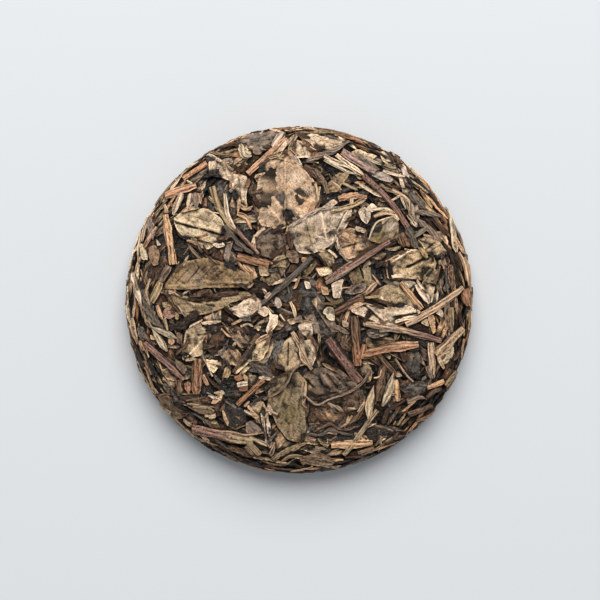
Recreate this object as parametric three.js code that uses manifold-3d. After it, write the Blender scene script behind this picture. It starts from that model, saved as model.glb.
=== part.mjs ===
// White tea cake: whole leaves, stems and silver buds of white tea, steamed and
// pressed in a mould into one round, hard cake. It is domed on top, round at the
// rim, and rests on a flat ring round the dimple that the cloth's knot leaves.
// Millimetres, +Z up. The origin is the middle of the underside, level with the
// flat ring. Seen from above, +X is to the right and +Y is up the page.

import * as THREE from 'three';
import { mergeVertices } from 'three/addons/utils/BufferGeometryUtils.js';
import Module from 'manifold-3d';

const wasm = await Module();
wasm.setup();

// The cake as a whole
const CAKE_DIAMETER = 195;
const CAKE_THICKNESS = 28;
const SHOULDER_RADIUS = 86; // where the dome turns over into the side
const SHOULDER_HEIGHT = 24.2;
const SHOULDER_SLOPE = 0.16; // fall of the dome for each millimetre outwards
const WIDEST_HEIGHT = 12.5;
const FOOT_RADIUS = 83; // outer edge of the flat ring
const DIMPLE_RADIUS = 26;
const DIMPLE_DEPTH = 9;

// The core that the shown pieces are pressed into
const CORE_DEPTH = 1.9; // under the mould's face
const CORE_UNEVENNESS = 0.35;
const CORE_SIDES = 48;
const CORE_RINGS = 15;

// The shown pieces: each is a plate that reaches down into the core
const PLATE_THICKNESS = 3.2;
const LEAF_CELL = 11; // a leaf's faces are split into cells of about this size
const STEM_CELL = 20;
const JOIN_TOLERANCE = 0.04; // joins leave out slivers finer than this

const TEA_COLOUR = 0x756250;
const RANDOM_SEED = 11;

// Leaves on top, in the order they lie: middle, heading in degrees, length,
// width, and how far below the mould's face the leaf lies
const TOP_LEAVES = [
  { at: [3, 0], heading: 30, length: 24, width: 21, sink: 1.1 },
  { at: [-48, 61], heading: 70, length: 20, width: 15, sink: 1.2 },
  { at: [-36, -66], heading: 30, length: 20, width: 16, sink: 1.2 },
  { at: [46, -73], heading: 5, length: 32, width: 14, sink: 1.2 },
  { at: [-14, -30], heading: 85, length: 24, width: 15, sink: 1.1 },
  { at: [12, -67], heading: -10, length: 26, width: 15, sink: 1.0 },
  { at: [-64, -12], heading: 20, length: 18, width: 9, sink: 1.0 },
  { at: [42, 66], heading: -35, length: 30, width: 10, sink: 1.1 },
  { at: [72, 58], heading: -50, length: 24, width: 12, sink: 1.0 },
  { at: [-42, -21], heading: 20, length: 25, width: 16, sink: 0.8 },
  { at: [20, -74], heading: 4, length: 30, width: 11, sink: 0.7 },
  { at: [-23, 89], heading: 12, length: 17, width: 9, sink: 0.7 },
  { at: [-7, 60], heading: 93, length: 47, width: 33, sink: 0.5 },
  { at: [-51, 7], heading: 2, length: 51, width: 31, sink: 0.4 },
  { at: [19, -50], heading: -14, length: 36, width: 22, sink: 0.5 },
  { at: [54, 3], heading: -8, length: 26, width: 14, sink: 0.6 },
  { at: [61, 55], heading: -72, length: 30, width: 7, sink: 0.5 },
  { at: [13, 88], heading: -4, length: 29, width: 8, sink: 0.4 },
  { at: [2, 85], heading: -18, length: 14, width: 10, sink: 0.2 },
  { at: [-45, 74], heading: -24, length: 15, width: 12, sink: 0.3 },
  { at: [-32, 61], heading: 86, length: 19, width: 11, sink: 0.4 },
  { at: [-56, 40], heading: -12, length: 32, width: 22, sink: 0.2 },
  { at: [-58, -22], heading: 62, length: 21, width: 15, sink: 0.3 },
  { at: [-32, -4], heading: 4, length: 25, width: 12, sink: 0.1 },
  { at: [-5, -31], heading: 74, length: 23, width: 12, sink: 0.3 },
  { at: [5, -25], heading: -76, length: 27, width: 11, sink: 0.2 },
  { at: [-20, -23], heading: 62, length: 35, width: 6, sink: 0.4 },
  { at: [-7, -60], heading: 96, length: 39, width: 20, sink: 0.1 },
  { at: [66, -49], heading: -6, length: 18, width: 9, sink: 0.6 },
  { at: [-56, -60], heading: -16, length: 23, width: 12, sink: 0.5 },
  { at: [-71, -60], heading: -42, length: 18, width: 9, sink: 0.5 },
  { at: [7, -89], heading: -3, length: 27, width: 7, sink: 0.5 },
  { at: [-47, -36], heading: -8, length: 11, width: 8, sink: 0.3 },
  { at: [74, 31], heading: -28, length: 17, width: 9, sink: 0.5 },
  { at: [13, 38], heading: 18, length: 36, width: 25, sink: 0.1 },
  { at: [30, 31], heading: -12, length: 19, width: 13, sink: 0.3 },
  { at: [48, 41], heading: 10, length: 19, width: 17, sink: 0.3 },
  { at: [63, 19], heading: 4, length: 32, width: 16, sink: 0.1 },
  { at: [49, -8], heading: -5, length: 41, width: 10, sink: 0.2 },
  { at: [16, 21], heading: -60, length: 12, width: 9, sink: 0.6 },
  { at: [21, 5], heading: 72, length: 12, width: 6, sink: 0.4 },
  { at: [17, -8], heading: 84, length: 10, width: 6, sink: 0.4 },
];

// Stems and rolled leaves on top: both ends, width, and bow to one side
const TOP_STEMS = [
  { from: [-89, 9], to: [-77, -16], width: 5, bow: -3 },
  { from: [-18, -14], to: [-31, -31], width: 2.8, bow: 0 },
  { from: [20, -7], to: [36, 1], width: 4, bow: 0 },
  { from: [-20, -1], to: [7, 24], width: 3, bow: -1 },
  { from: [-35, 24], to: [-17, 20], width: 4.5, bow: 0 },
  { from: [-65, 68], to: [-52, 77], width: 3.2, bow: 0 },
  { from: [-75, 58], to: [-58, 65], width: 4.2, bow: 0 },
  { from: [-75, 48], to: [-71, 20], width: 4.2, bow: 1 },
  { from: [-74, 18], to: [-83, -1], width: 3.6, bow: 0 },
  { from: [-29, 71], to: [-8, 91], width: 3.2, bow: 0 },
  { from: [3, 78], to: [28, 88], width: 2.8, bow: 1 },
  { from: [24, 83], to: [44, 72], width: 4.6, bow: 0 },
  { from: [15, 81], to: [36, 70], width: 4, bow: -1 },
  { from: [35, 70], to: [64, 36], width: 3.8, bow: 1 },
  { from: [15, 11], to: [51, 33], width: 4, bow: 0 },
  { from: [-47, 63], to: [-35, 38], width: 4, bow: -2 },
  { from: [-36, 40], to: [-23, 26], width: 2.6, bow: 0 },
  { from: [-87, -24], to: [-65, -45], width: 3.2, bow: 0 },
  { from: [-57, -33], to: [-58, -53], width: 5.4, bow: 0 },
  { from: [-36, -59], to: [-20, -45], width: 2.8, bow: 0 },
  { from: [-60, -72], to: [-21, -78], width: 4.6, bow: 0 },
  { from: [-22, -57], to: [-16, -84], width: 5, bow: 1 },
  { from: [-15, -89], to: [10, -78], width: 4.4, bow: 1 },
  { from: [16, -22], to: [34, -46], width: 5.5, bow: 0 },
  { from: [31, -9], to: [33, -37], width: 4.5, bow: 0 },
  { from: [36, -29], to: [67, -25], width: 5.4, bow: 0 },
  { from: [36, -13], to: [80, -23], width: 3.2, bow: 0 },
  { from: [57, 10], to: [69, -5], width: 3, bow: 0 },
  { from: [92, 7], to: [60, -14], width: 3.8, bow: 1 },
  { from: [77, -31], to: [92, -16], width: 4.5, bow: 0 },
  { from: [74, -24], to: [75, -42], width: 3.6, bow: 0 },
  { from: [18, -82], to: [41, -80], width: 4.2, bow: 0 },
  { from: [24, -87], to: [40, -66], width: 3, bow: 0 },
  { from: [62, -65], to: [74, -59], width: 3, bow: 0 },
  { from: [84, 50], to: [89, 27], width: 4, bow: 1 },
];

// Silver buds on top: base end, tip end and width
const TOP_BUDS = [
  { from: [45, -62], to: [53, -40], width: 4.8 },
  { from: [39, -66], to: [41, -47], width: 4.6 },
  { from: [-70, -21], to: [-84, -15], width: 3 },
  { from: [-75, -28], to: [-83, -16], width: 3.4 },
];

// Pieces that a rule spreads over the rim and the underside
const RIM_ROWS = [
  { up: 9, count: 15, length: [24, 38], width: [5, 9] },
  { up: -11, count: 15, length: [26, 42], width: [6, 12] },
  { up: 0, count: 16, length: [28, 44], width: [6, 12] },
];
const RIM_SINK = [0, 0.6];
const RIM_WAVE = 0.3;
const UNDERSIDE_COUNT = 38;
const UNDERSIDE_LENGTH = [22, 42];
const UNDERSIDE_WIDTH = [6, 19];
const UNDERSIDE_SINKS = [0, 0.8, 0, 0.4];

function seededRandom(seed) {
  let state = seed;
  return () => {
    state = (state * 1664525 + 1013904223) % 4294967296;
    return state / 4294967296;
  };
}

const random = seededRandom(RANDOM_SEED);
const between = ([low, high]) => low + (high - low) * random();

// The mould's face as a line from the top's middle, over the rim, to the
// underside's middle: x is the radius and y is the height
function mouldSection() {
  const widest = CAKE_DIAMETER / 2;
  const overhang = widest - SHOULDER_RADIUS;
  const shoulderLead = 0.3 * SHOULDER_RADIUS;
  const section = new THREE.Path();
  section.moveTo(0, CAKE_THICKNESS);
  section.bezierCurveTo(
    0.35 * SHOULDER_RADIUS, CAKE_THICKNESS,
    SHOULDER_RADIUS - shoulderLead, SHOULDER_HEIGHT + SHOULDER_SLOPE * shoulderLead * 0.6,
    SHOULDER_RADIUS, SHOULDER_HEIGHT,
  );
  section.bezierCurveTo(
    SHOULDER_RADIUS + 0.6 * overhang, SHOULDER_HEIGHT - SHOULDER_SLOPE * overhang,
    widest, WIDEST_HEIGHT + 0.55 * (SHOULDER_HEIGHT - WIDEST_HEIGHT),
    widest, WIDEST_HEIGHT,
  );
  section.bezierCurveTo(
    widest, 0.42 * WIDEST_HEIGHT,
    FOOT_RADIUS + 0.5 * (widest - FOOT_RADIUS), 0,
    FOOT_RADIUS, 0,
  );
  section.lineTo(DIMPLE_RADIUS, 0);
  section.bezierCurveTo(
    0.7 * DIMPLE_RADIUS, 0,
    0.65 * DIMPLE_RADIUS, DIMPLE_DEPTH,
    0, DIMPLE_DEPTH,
  );
  return section;
}

const SECTION = mouldSection();
const SECTION_LENGTH = SECTION.getLength();
const RIM_DISTANCE = SECTION.getCurveLengths()[1]; // from the top's middle to the widest line

// A point under the mould's face: the distance along the section from the top's
// middle, the angle round the axis, and the depth straight in from the face
function skinPoint(distance, angle, depth) {
  const t = THREE.MathUtils.clamp(distance / SECTION_LENGTH, 0, 1);
  const spot = SECTION.getPoint(t);
  const way = SECTION.getTangent(t);
  const radius = Math.max(0, spot.x + way.y * depth);
  const height = spot.y - way.x * depth;
  return new THREE.Vector3(radius * Math.cos(angle), radius * Math.sin(angle), height);
}

// The distance along the section at which it reaches a radius, on one side of
// the widest line
function distanceAtRadius(radius, onTop) {
  let inner = onTop ? 0 : SECTION_LENGTH;
  let outer = RIM_DISTANCE;
  for (let step = 0; step < 24; step += 1) {
    const middle = (inner + outer) / 2;
    if (SECTION.getPoint(middle / SECTION_LENGTH).x < radius) {
      inner = middle;
    } else {
      outer = middle;
    }
  }
  return (inner + outer) / 2;
}

// Three ways to lay a point of a piece on the face. The underside is seen from
// below, so that a piece keeps its faces outwards there.
const onTop = (x, y, depth) =>
  skinPoint(distanceAtRadius(Math.hypot(x, y), true), Math.atan2(y, x), depth);
const onUnderside = (x, y, depth) =>
  skinPoint(distanceAtRadius(Math.hypot(x, y), false), Math.atan2(y, -x), depth);
const onRim = (round, up, depth) =>
  skinPoint(RIM_DISTANCE - up, (2 * round) / CAKE_DIAMETER, depth);

// A smooth unevenness between -1 and 1 that differs from place to place
function unevenness(x, y, z) {
  const slow = Math.sin(0.31 * x + 1.7 * Math.sin(0.23 * y + 0.4 * z));
  const quick = Math.sin(0.57 * y - 0.43 * x + 0.9 * z + 2.1);
  return 0.6 * slow + 0.4 * quick;
}

// A mesh's positions alone, with the corners that faces share made one
function sharedCorners(geometry) {
  geometry.deleteAttribute('normal');
  geometry.deleteAttribute('uv');
  return mergeVertices(geometry, 1e-4);
}

function solidFrom(geometry) {
  const shared = sharedCorners(geometry);
  return new wasm.Manifold(new wasm.Mesh({
    numProp: 3,
    vertProperties: shared.attributes.position.array,
    triVerts: new Uint32Array(shared.index.array),
  }));
}

function coreSolid() {
  const profile = [];
  for (let ring = CORE_RINGS; ring >= 0; ring -= 1) {
    const inside = skinPoint((ring / CORE_RINGS) * SECTION_LENGTH, 0, CORE_DEPTH);
    const onAxis = ring === 0 || ring === CORE_RINGS;
    profile.push(new THREE.Vector2(onAxis ? 0 : inside.x, inside.z));
  }
  const geometry = new THREE.LatheGeometry(profile, CORE_SIDES);
  geometry.rotateX(Math.PI / 2);
  const place = geometry.attributes.position;
  for (let i = 0; i < place.count; i += 1) {
    const [x, y, z] = [place.getX(i), place.getY(i), place.getZ(i)];
    const shrink = 1 + (CORE_UNEVENNESS * unevenness(x, y, z)) / SHOULDER_RADIUS;
    const lift = CORE_UNEVENNESS * unevenness(y, x, z) * Math.sign(z - WIDEST_HEIGHT);
    place.setXYZ(i, x * shrink, y * shrink, z + lift);
  }
  return solidFrom(geometry);
}

// How wide a piece is at a share of its length, against its greatest width
const leafTaper = (share) => Math.sin(Math.PI * (0.07 + 0.84 * share)) ** 0.7;
const stemTaper = () => 1;
const budTaper = (share) => Math.sin(Math.PI * (0.2 + 0.74 * share)) ** 0.8;

// One piece: a box split into cells, drawn out to the piece's outline, waved or
// crowned across, and laid on the cake. Its underside runs alike inside the core.
function laidPiece(piece, lay) {
  const cells = Math.max(2, Math.round(piece.length / piece.cell));
  const geometry = new THREE.BoxGeometry(1, 1, 1, cells, piece.cellsAcross, 1);
  const place = geometry.attributes.position;
  const heading = THREE.MathUtils.degToRad(piece.heading);
  for (let i = 0; i < place.count; i += 1) {
    const share = place.getX(i) + 0.5;
    const side = 2 * place.getY(i);
    const along = place.getX(i) * piece.length;
    const halfWidth = 0.5 * piece.width * piece.taper(share);
    const across = side * halfWidth + piece.bow * (1 - (2 * share - 1) ** 2);
    const x = piece.at[0] + along * Math.cos(heading) - across * Math.sin(heading);
    const y = piece.at[1] + along * Math.sin(heading) + across * Math.cos(heading);
    const wave = piece.wave * (0.5 + 0.5 * unevenness(x, y, piece.sink));
    const top = piece.sink + piece.crown * side * side + wave;
    const depth = place.getZ(i) > 0 ? top : top + PLATE_THICKNESS;
    place.setXYZ(i, ...lay(x, y, depth));
  }
  return solidFrom(geometry);
}

function leaf(shape, lay = onTop) {
  const cellsAcross = Math.max(2, Math.round(shape.width / LEAF_CELL));
  const style = { bow: 0, cell: LEAF_CELL, crown: 0.35, wave: 0.55, taper: leafTaper };
  return laidPiece({ ...style, cellsAcross, ...shape }, lay);
}

// A piece between two ends
function rod(shape, style, lay = onTop) {
  const [x0, y0] = shape.from;
  const [x1, y1] = shape.to;
  const span = {
    at: [(x0 + x1) / 2, (y0 + y1) / 2],
    heading: THREE.MathUtils.radToDeg(Math.atan2(y1 - y0, x1 - x0)),
    length: Math.hypot(x1 - x0, y1 - y0),
  };
  return laidPiece({ cellsAcross: 2, wave: 0.1, sink: 0, ...span, ...style, ...shape }, lay);
}

const stem = (shape) =>
  rod(shape, { cell: STEM_CELL, crown: 0.3 * shape.width, taper: stemTaper });
const bud = (shape) =>
  rod(shape, { bow: 0, cell: 5, crown: 0.32 * shape.width, taper: budTaper });

// The rim's pieces lie mostly along it, in rows
function rimPieces() {
  const circle = Math.PI * CAKE_DIAMETER;
  return RIM_ROWS.flatMap((row) => Array.from({ length: row.count }, (_, i) => {
    const round = ((i + between([-0.2, 0.2])) / row.count) * circle;
    const up = row.up + between([-2, 2]);
    const shape = { at: [round, up], length: between(row.length), width: between(row.width) };
    const lie = { heading: between([-25, 25]), sink: between(RIM_SINK), wave: RIM_WAVE };
    return leaf({ ...shape, ...lie }, onRim);
  }));
}

// The underside's pieces are spread evenly from the middle outwards, each a
// golden angle on from the last
function undersidePieces() {
  const goldenAngle = Math.PI * (3 - Math.sqrt(5));
  return Array.from({ length: UNDERSIDE_COUNT }, (_, i) => {
    const radius = FOOT_RADIUS * Math.sqrt((i + 0.7) / UNDERSIDE_COUNT) - 3;
    const at = [radius * Math.cos(i * goldenAngle), radius * Math.sin(i * goldenAngle)];
    const sink = UNDERSIDE_SINKS[i % UNDERSIDE_SINKS.length];
    const reach = Math.min(1, (FOOT_RADIUS + 8 - radius) / 14);
    const length = reach * between(UNDERSIDE_LENGTH);
    const flat = { crown: 0, wave: sink };
    const shape = { at, heading: between([0, 180]), length, width: between(UNDERSIDE_WIDTH) };
    return leaf({ ...shape, sink, ...flat }, onUnderside);
  });
}

// The largest closed body of a join: loose scraps and sealed hollows go
function mainBody(solid) {
  const bodies = solid.decompose();
  return bodies.reduce((best, body) => (body.volume() > best.volume() ? body : best));
}

function geometryFrom(solid) {
  const mesh = solid.getMesh();
  const geometry = new THREE.BufferGeometry();
  geometry.setAttribute('position', new THREE.BufferAttribute(mesh.vertProperties, 3));
  geometry.setIndex(new THREE.BufferAttribute(mesh.triVerts, 1));
  geometry.computeVertexNormals();
  return geometry;
}

function teaCake() {
  const pieces = [
    coreSolid(),
    ...undersidePieces(),
    ...rimPieces(),
    ...TOP_LEAVES.map((shape) => leaf(shape)),
    ...TOP_STEMS.map(stem),
    ...TOP_BUDS.map(bud),
  ];
  const joined = wasm.Manifold.union(pieces).asOriginal().simplify(JOIN_TOLERANCE);
  const tea = new THREE.MeshStandardMaterial({ color: TEA_COLOUR, roughness: 0.85, metalness: 0 });
  const mesh = new THREE.Mesh(geometryFrom(mainBody(joined)), tea);
  mesh.name = 'tea_cake';
  return mesh;
}

const cake = new THREE.Group();
cake.add(teaCake());

export default cake;
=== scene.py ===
"""White tea cake: whole leaves, stems and silver buds pressed into one round cake.

The cake is laid up as it is pressed: a dark core, a bed of dark leaves, and the
shown leaves, stems and buds on top, each following what lies under it."""

import math

import bpy
import numpy as np
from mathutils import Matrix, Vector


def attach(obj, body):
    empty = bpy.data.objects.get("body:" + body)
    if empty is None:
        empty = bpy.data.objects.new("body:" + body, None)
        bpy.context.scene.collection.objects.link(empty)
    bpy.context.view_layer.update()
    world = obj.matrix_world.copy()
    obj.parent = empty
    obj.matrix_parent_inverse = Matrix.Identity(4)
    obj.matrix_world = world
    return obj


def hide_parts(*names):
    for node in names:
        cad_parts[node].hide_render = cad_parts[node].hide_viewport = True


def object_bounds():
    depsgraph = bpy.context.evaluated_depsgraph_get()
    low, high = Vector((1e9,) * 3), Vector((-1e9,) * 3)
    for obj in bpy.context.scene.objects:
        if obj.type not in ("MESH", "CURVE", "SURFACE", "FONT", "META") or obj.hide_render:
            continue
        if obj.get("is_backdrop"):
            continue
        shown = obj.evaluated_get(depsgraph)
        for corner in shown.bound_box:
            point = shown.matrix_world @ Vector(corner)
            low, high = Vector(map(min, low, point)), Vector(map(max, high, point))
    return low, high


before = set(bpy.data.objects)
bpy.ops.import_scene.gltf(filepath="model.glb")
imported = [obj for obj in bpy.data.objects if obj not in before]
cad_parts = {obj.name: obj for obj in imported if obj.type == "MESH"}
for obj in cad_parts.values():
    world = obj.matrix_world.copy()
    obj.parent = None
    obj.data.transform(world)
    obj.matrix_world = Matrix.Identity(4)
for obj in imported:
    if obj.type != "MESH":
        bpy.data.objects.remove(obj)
CAD_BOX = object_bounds()

bl_info = {
    "name": "White Tea Cake",
    "version": (1, 0, 0),
    "blender": (4, 5, 0),
    "location": "3D View > Sidebar > Tea Cake",
    "description": "Lays up a pressed cake of white tea from leaves, stems and buds",
    "category": "Object",
}

NODE = "tea_cake"
MM = 0.001
SEED = 11

# The mould, as in the part's source, in millimetres
CAKE_DIAMETER = 195.0
CAKE_THICKNESS = 28.0
SHOULDER_RADIUS = 86.0
SHOULDER_HEIGHT = 24.2
SHOULDER_SLOPE = 0.16
WIDEST_HEIGHT = 12.5
FOOT_RADIUS = 83.0
DIMPLE_RADIUS = 26.0
DIMPLE_DEPTH = 9.0

# The grid that keeps how high the cake is so far, in millimetres
CELL = 0.5
HALF = 118.0
GRID = int(2 * HALF / CELL) + 1

# The camera that looks straight down
CAMERA_HEIGHT = 912.5
PIXEL = 0.5635  # millimetres on the cake's widest plane
FRAME_PIXELS = 600
SENSOR = 36.0


def srgb(*values):
    """A colour of 0 to 255 as Blender's linear colour."""
    shares = [v / 255 for v in values]
    return tuple(s / 12.92 if s <= 0.04045 else ((s + 0.055) / 1.055) ** 2.4 for s in shares)


# Every tone of tea, as it looks in soft light
TONES = {
    "cream": (208, 184, 157),
    "straw": (206, 182, 148),
    "beige": (202, 177, 151),
    "sage": (194, 176, 146),
    "hay": (184, 159, 127),
    "ash": (178, 160, 143),
    "tan": (174, 144, 115),
    "amber": (182, 144, 108),
    "khaki": (156, 133, 102),
    "olive": (128, 108, 82),
    "moss": (104, 90, 52),
    "taupe": (130, 112, 97),
    "dun": (143, 118, 96),
    "bark": (113, 92, 73),
    "umber": (92, 69, 52),
    "cocoa": (68, 48, 34),
    "slate": (92, 82, 72),
    "char": (46, 36, 28),
    "coal": (24, 17, 12),
    "plum": (126, 95, 83),
    "claret": (106, 77, 69),
    "mauve": (150, 122, 110),
    "wine": (88, 61, 48),
    "rust": (140, 100, 73),
    "salmon": (180, 138, 108),
    "silver": (172, 156, 132),
}


# ---------------------------------------------------------------- the mould's face


CURVE_POINTS = 300


def bezier(start, lead_out, lead_in, end):
    """Points of a cubic curve."""
    t = np.linspace(0, 1, CURVE_POINTS)[:, None]
    points = [np.array(p, float) for p in (start, lead_out, lead_in, end)]
    weights = [(1 - t) ** 3, 3 * t * (1 - t) ** 2, 3 * t * t * (1 - t), t**3]
    return sum(w * p for w, p in zip(weights, points))


def mould_section():
    """Distance along the section, radius, height and outward direction, from the
    top's middle over the rim to the underside's middle. The shares say how full
    each curve is, as in the part's source."""
    widest = CAKE_DIAMETER / 2
    overhang = widest - SHOULDER_RADIUS
    lead = 0.3 * SHOULDER_RADIUS
    foot = FOOT_RADIUS + 0.5 * (widest - FOOT_RADIUS)
    shoulder = (SHOULDER_RADIUS, SHOULDER_HEIGHT)
    rise = SHOULDER_HEIGHT + SHOULDER_SLOPE * lead * 0.6
    fall = SHOULDER_HEIGHT - SHOULDER_SLOPE * overhang
    upper = WIDEST_HEIGHT + 0.55 * (SHOULDER_HEIGHT - WIDEST_HEIGHT)
    runs = [
        bezier((0, CAKE_THICKNESS), (0.35 * SHOULDER_RADIUS, CAKE_THICKNESS),
               (SHOULDER_RADIUS - lead, rise), shoulder),
        bezier(shoulder, (SHOULDER_RADIUS + 0.6 * overhang, fall),
               (widest, upper), (widest, WIDEST_HEIGHT)),
        bezier((widest, WIDEST_HEIGHT), (widest, 0.42 * WIDEST_HEIGHT),
               (foot, 0), (FOOT_RADIUS, 0)),
        bezier((FOOT_RADIUS, 0), (60, 0), (40, 0), (DIMPLE_RADIUS, 0)),
        bezier((DIMPLE_RADIUS, 0), (0.7 * DIMPLE_RADIUS, 0),
               (0.65 * DIMPLE_RADIUS, DIMPLE_DEPTH), (0, DIMPLE_DEPTH)),
    ]
    path = np.concatenate([runs[0]] + [r[1:] for r in runs[1:]])
    steps = np.hypot(*np.diff(path, axis=0).T)
    run = np.concatenate([[0], np.cumsum(steps)])
    way = np.gradient(path, run, axis=0)
    way /= np.hypot(way[:, 0], way[:, 1])[:, None]
    return run, path[:, 0], path[:, 1], -way[:, 1], way[:, 0]


RUN, RADIUS, HEIGHT, OUT_RADIUS, OUT_HEIGHT = mould_section()
RUN_LENGTH = RUN[-1]
RIM_RUN = RUN[int(np.argmax(RADIUS))]


def smooth_step(low, high, value):
    """0 at low and 1 at high, with a soft start and end."""
    t = np.clip((value - low) / (high - low), 0, 1)
    return t * t * (3 - 2 * t)


def lattice(ix, iy, seed):
    """A mixed-up whole number for each corner of the noise's grid."""
    bits = (ix.astype(np.int64) * 374761393 + iy.astype(np.int64) * 668265263
            + (seed % 65521) * 1442695041) & 0xFFFFFFFF
    bits = ((bits ^ (bits >> 13)) * 1274126177) & 0xFFFFFFFF
    return bits ^ (bits >> 16)


def noise(x, y, seed):
    """Smooth gradient noise of about -1 to 1, with features one unit apart."""
    x, y = np.broadcast_arrays(np.asarray(x, float), np.asarray(y, float))
    ix, iy = np.floor(x), np.floor(y)
    fx, fy = x - ix, y - iy
    wx = fx**3 * (fx * (fx * 6 - 15) + 10)
    wy = fy**3 * (fy * (fy * 6 - 15) + 10)
    total = np.zeros_like(fx)
    for dx in (0, 1):
        for dy in (0, 1):
            turn = lattice(ix + dx, iy + dy, seed) * (2 * math.pi / 2**32)
            slope = np.cos(turn) * (fx - dx) + np.sin(turn) * (fy - dy)
            total += slope * (wx if dx else 1 - wx) * (wy if dy else 1 - wy)
    return 1.5 * total


def blur(grid, cells):
    """A grid smoothed over a few cells."""
    reach = int(math.ceil(2.5 * cells))
    weights = np.exp(-0.5 * (np.arange(-reach, reach + 1) / cells) ** 2)
    weights /= weights.sum()
    rows, columns = grid.shape
    wide = np.pad(grid, reach, mode="edge")
    down = sum(w * wide[i:i + rows, :] for i, w in enumerate(weights))
    return sum(w * down[:, i:i + columns] for i, w in enumerate(weights))


def crest(grid, cells):
    """The highest value within a few cells."""
    rows, columns = grid.shape
    wide = np.pad(grid, cells, mode="edge")
    down = np.max([wide[i:i + rows, :] for i in range(2 * cells + 1)], axis=0)
    return np.max([down[:, i:i + columns] for i in range(2 * cells + 1)], axis=0)


def read_grid(grid, gx, gy):
    """A grid's values at places between its points."""
    gx = np.clip(gx, 0, grid.shape[1] - 1.001)
    gy = np.clip(gy, 0, grid.shape[0] - 1.001)
    ix, iy = gx.astype(int), gy.astype(int)
    fx, fy = gx - ix, gy - iy
    low = grid[iy, ix] * (1 - fx) + grid[iy, ix + 1] * fx
    high = grid[iy + 1, ix] * (1 - fx) + grid[iy + 1, ix + 1] * fx
    return low * (1 - fy) + high * fy


FLOOR_SOFTNESS = 0.35  # over how many millimetres the foot is pressed flat
CREST_CELLS = 1  # how near a piece rests on the highest of what it touches


class Face:
    """One side of the cake, as a flat map: the distance from the map's middle is
    the distance along the mould's section. It keeps how high the tea lies over
    the mould's face so far. The underside's map is seen from below."""

    def __init__(self, below, depth):
        self.below = below
        self.level = np.full((GRID, GRID), -depth, float)

    def spot(self, x, y, up):
        """Places in the scene, in metres, for places on the map and a height."""
        away = np.hypot(x, y)
        turn = np.arctan2(y, x)
        run = RUN_LENGTH - away if self.below else away
        radius = np.interp(run, RUN, RADIUS) + np.interp(run, RUN, OUT_RADIUS) * up
        height = np.interp(run, RUN, HEIGHT) + np.interp(run, RUN, OUT_HEIGHT) * up
        height = FLOOR_SOFTNESS * np.logaddexp(0, height / FLOOR_SOFTNESS)
        side = -1 if self.below else 1
        place = [side * radius * np.cos(turn), radius * np.sin(turn), height]
        return np.stack(place, -1) * MM

    def read(self, x, y, blur_cells):
        """How high the tea lies under a piece, smoothed as a leaf that bends."""
        margin = int(3 * blur_cells) + CREST_CELLS + 2
        gx, gy = (x + HALF) / CELL, (y + HALF) / CELL
        x0 = int(np.clip(np.floor(gx.min()) - margin, 0, GRID - 2))
        x1 = int(np.clip(np.ceil(gx.max()) + margin, x0 + 2, GRID))
        y0 = int(np.clip(np.floor(gy.min()) - margin, 0, GRID - 2))
        y1 = int(np.clip(np.ceil(gy.max()) + margin, y0 + 2, GRID))
        part = crest(self.level[y0:y1, x0:x1], CREST_CELLS)
        return read_grid(blur(part, blur_cells), gx - x0, gy - y0)

    def raise_to(self, x, y, up):
        """Raises the level to a grid of points, split finer than the level's cells."""
        step = max(np.hypot(np.diff(x, axis=0), np.diff(y, axis=0)).max(),
                   np.hypot(np.diff(x, axis=1), np.diff(y, axis=1)).max())
        times = int(np.clip(math.ceil(step / (0.8 * CELL)), 1, 16))
        rows, columns = x.shape
        v = np.linspace(0, rows - 1, (rows - 1) * times + 1)
        u = np.linspace(0, columns - 1, (columns - 1) * times + 1)
        gu, gv = np.meshgrid(u, v)
        fine = [read_grid(g, gu, gv) for g in (x, y, up)]
        ix = np.clip(np.rint((fine[0] + HALF) / CELL).astype(int), 0, GRID - 1)
        iy = np.clip(np.rint((fine[1] + HALF) / CELL).astype(int), 0, GRID - 1)
        np.maximum.at(self.level, (iy.ravel(), ix.ravel()), fine[2].ravel())


def seen_radius(run):
    """The radius at which the camera sees a place on the mould's face, measured
    on the widest plane."""
    radius = np.interp(run, RUN, RADIUS)
    height = np.interp(run, RUN, HEIGHT)
    return radius * (CAMERA_HEIGHT - WIDEST_HEIGHT) / (CAMERA_HEIGHT - height)


SEEN_RUN = np.linspace(0, RIM_RUN, 400)
SEEN_RADIUS = np.maximum.accumulate(seen_radius(SEEN_RUN))


def on_map(points):
    """Points as seen from above, in millimetres, on the top's flat map."""
    points = np.asarray(points, float)
    away = np.hypot(points[..., 0], points[..., 1])
    run = np.interp(away, SEEN_RADIUS, SEEN_RUN)
    return points * (run / np.maximum(away, 1e-6))[..., None]


# ---------------------------------------------------------------- single pieces

# How a leaf's face is worked: the height and size in millimetres of its folds and of
# the sharp lines over them, how these lines are drawn out and slant, and how far
# its edge curls up
LOOKS = {
    "smooth": dict(fold=0.36, fold_size=9, line=0.16, line_size=5.0, drawn=2.2, slant=35, curl=0.5),
    "veined": dict(fold=0.30, fold_size=10, line=0.17, line_size=3.0, drawn=4.0, slant=48, curl=0.4),
    "crumpled": dict(fold=0.64, fold_size=7, line=0.24, line_size=4.0, drawn=2.0, slant=18, curl=0.8),
    "puckered": dict(fold=0.36, fold_size=4.5, line=0.2, line_size=3.0, drawn=1.5, slant=0, curl=0.5),
    "ribbed": dict(fold=0.40, fold_size=6, line=0.26, line_size=2.2, drawn=5.0, slant=6, curl=0.5,
                   rib=0.10),
    "flat": dict(fold=0.24, fold_size=7, line=0.14, line_size=4.0, drawn=2.6, slant=30, curl=0.35),
    "satin": dict(fold=0.50, fold_size=4.0, line=0.46, line_size=1.7, drawn=4.0, slant=12, curl=0.5),
}

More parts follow.
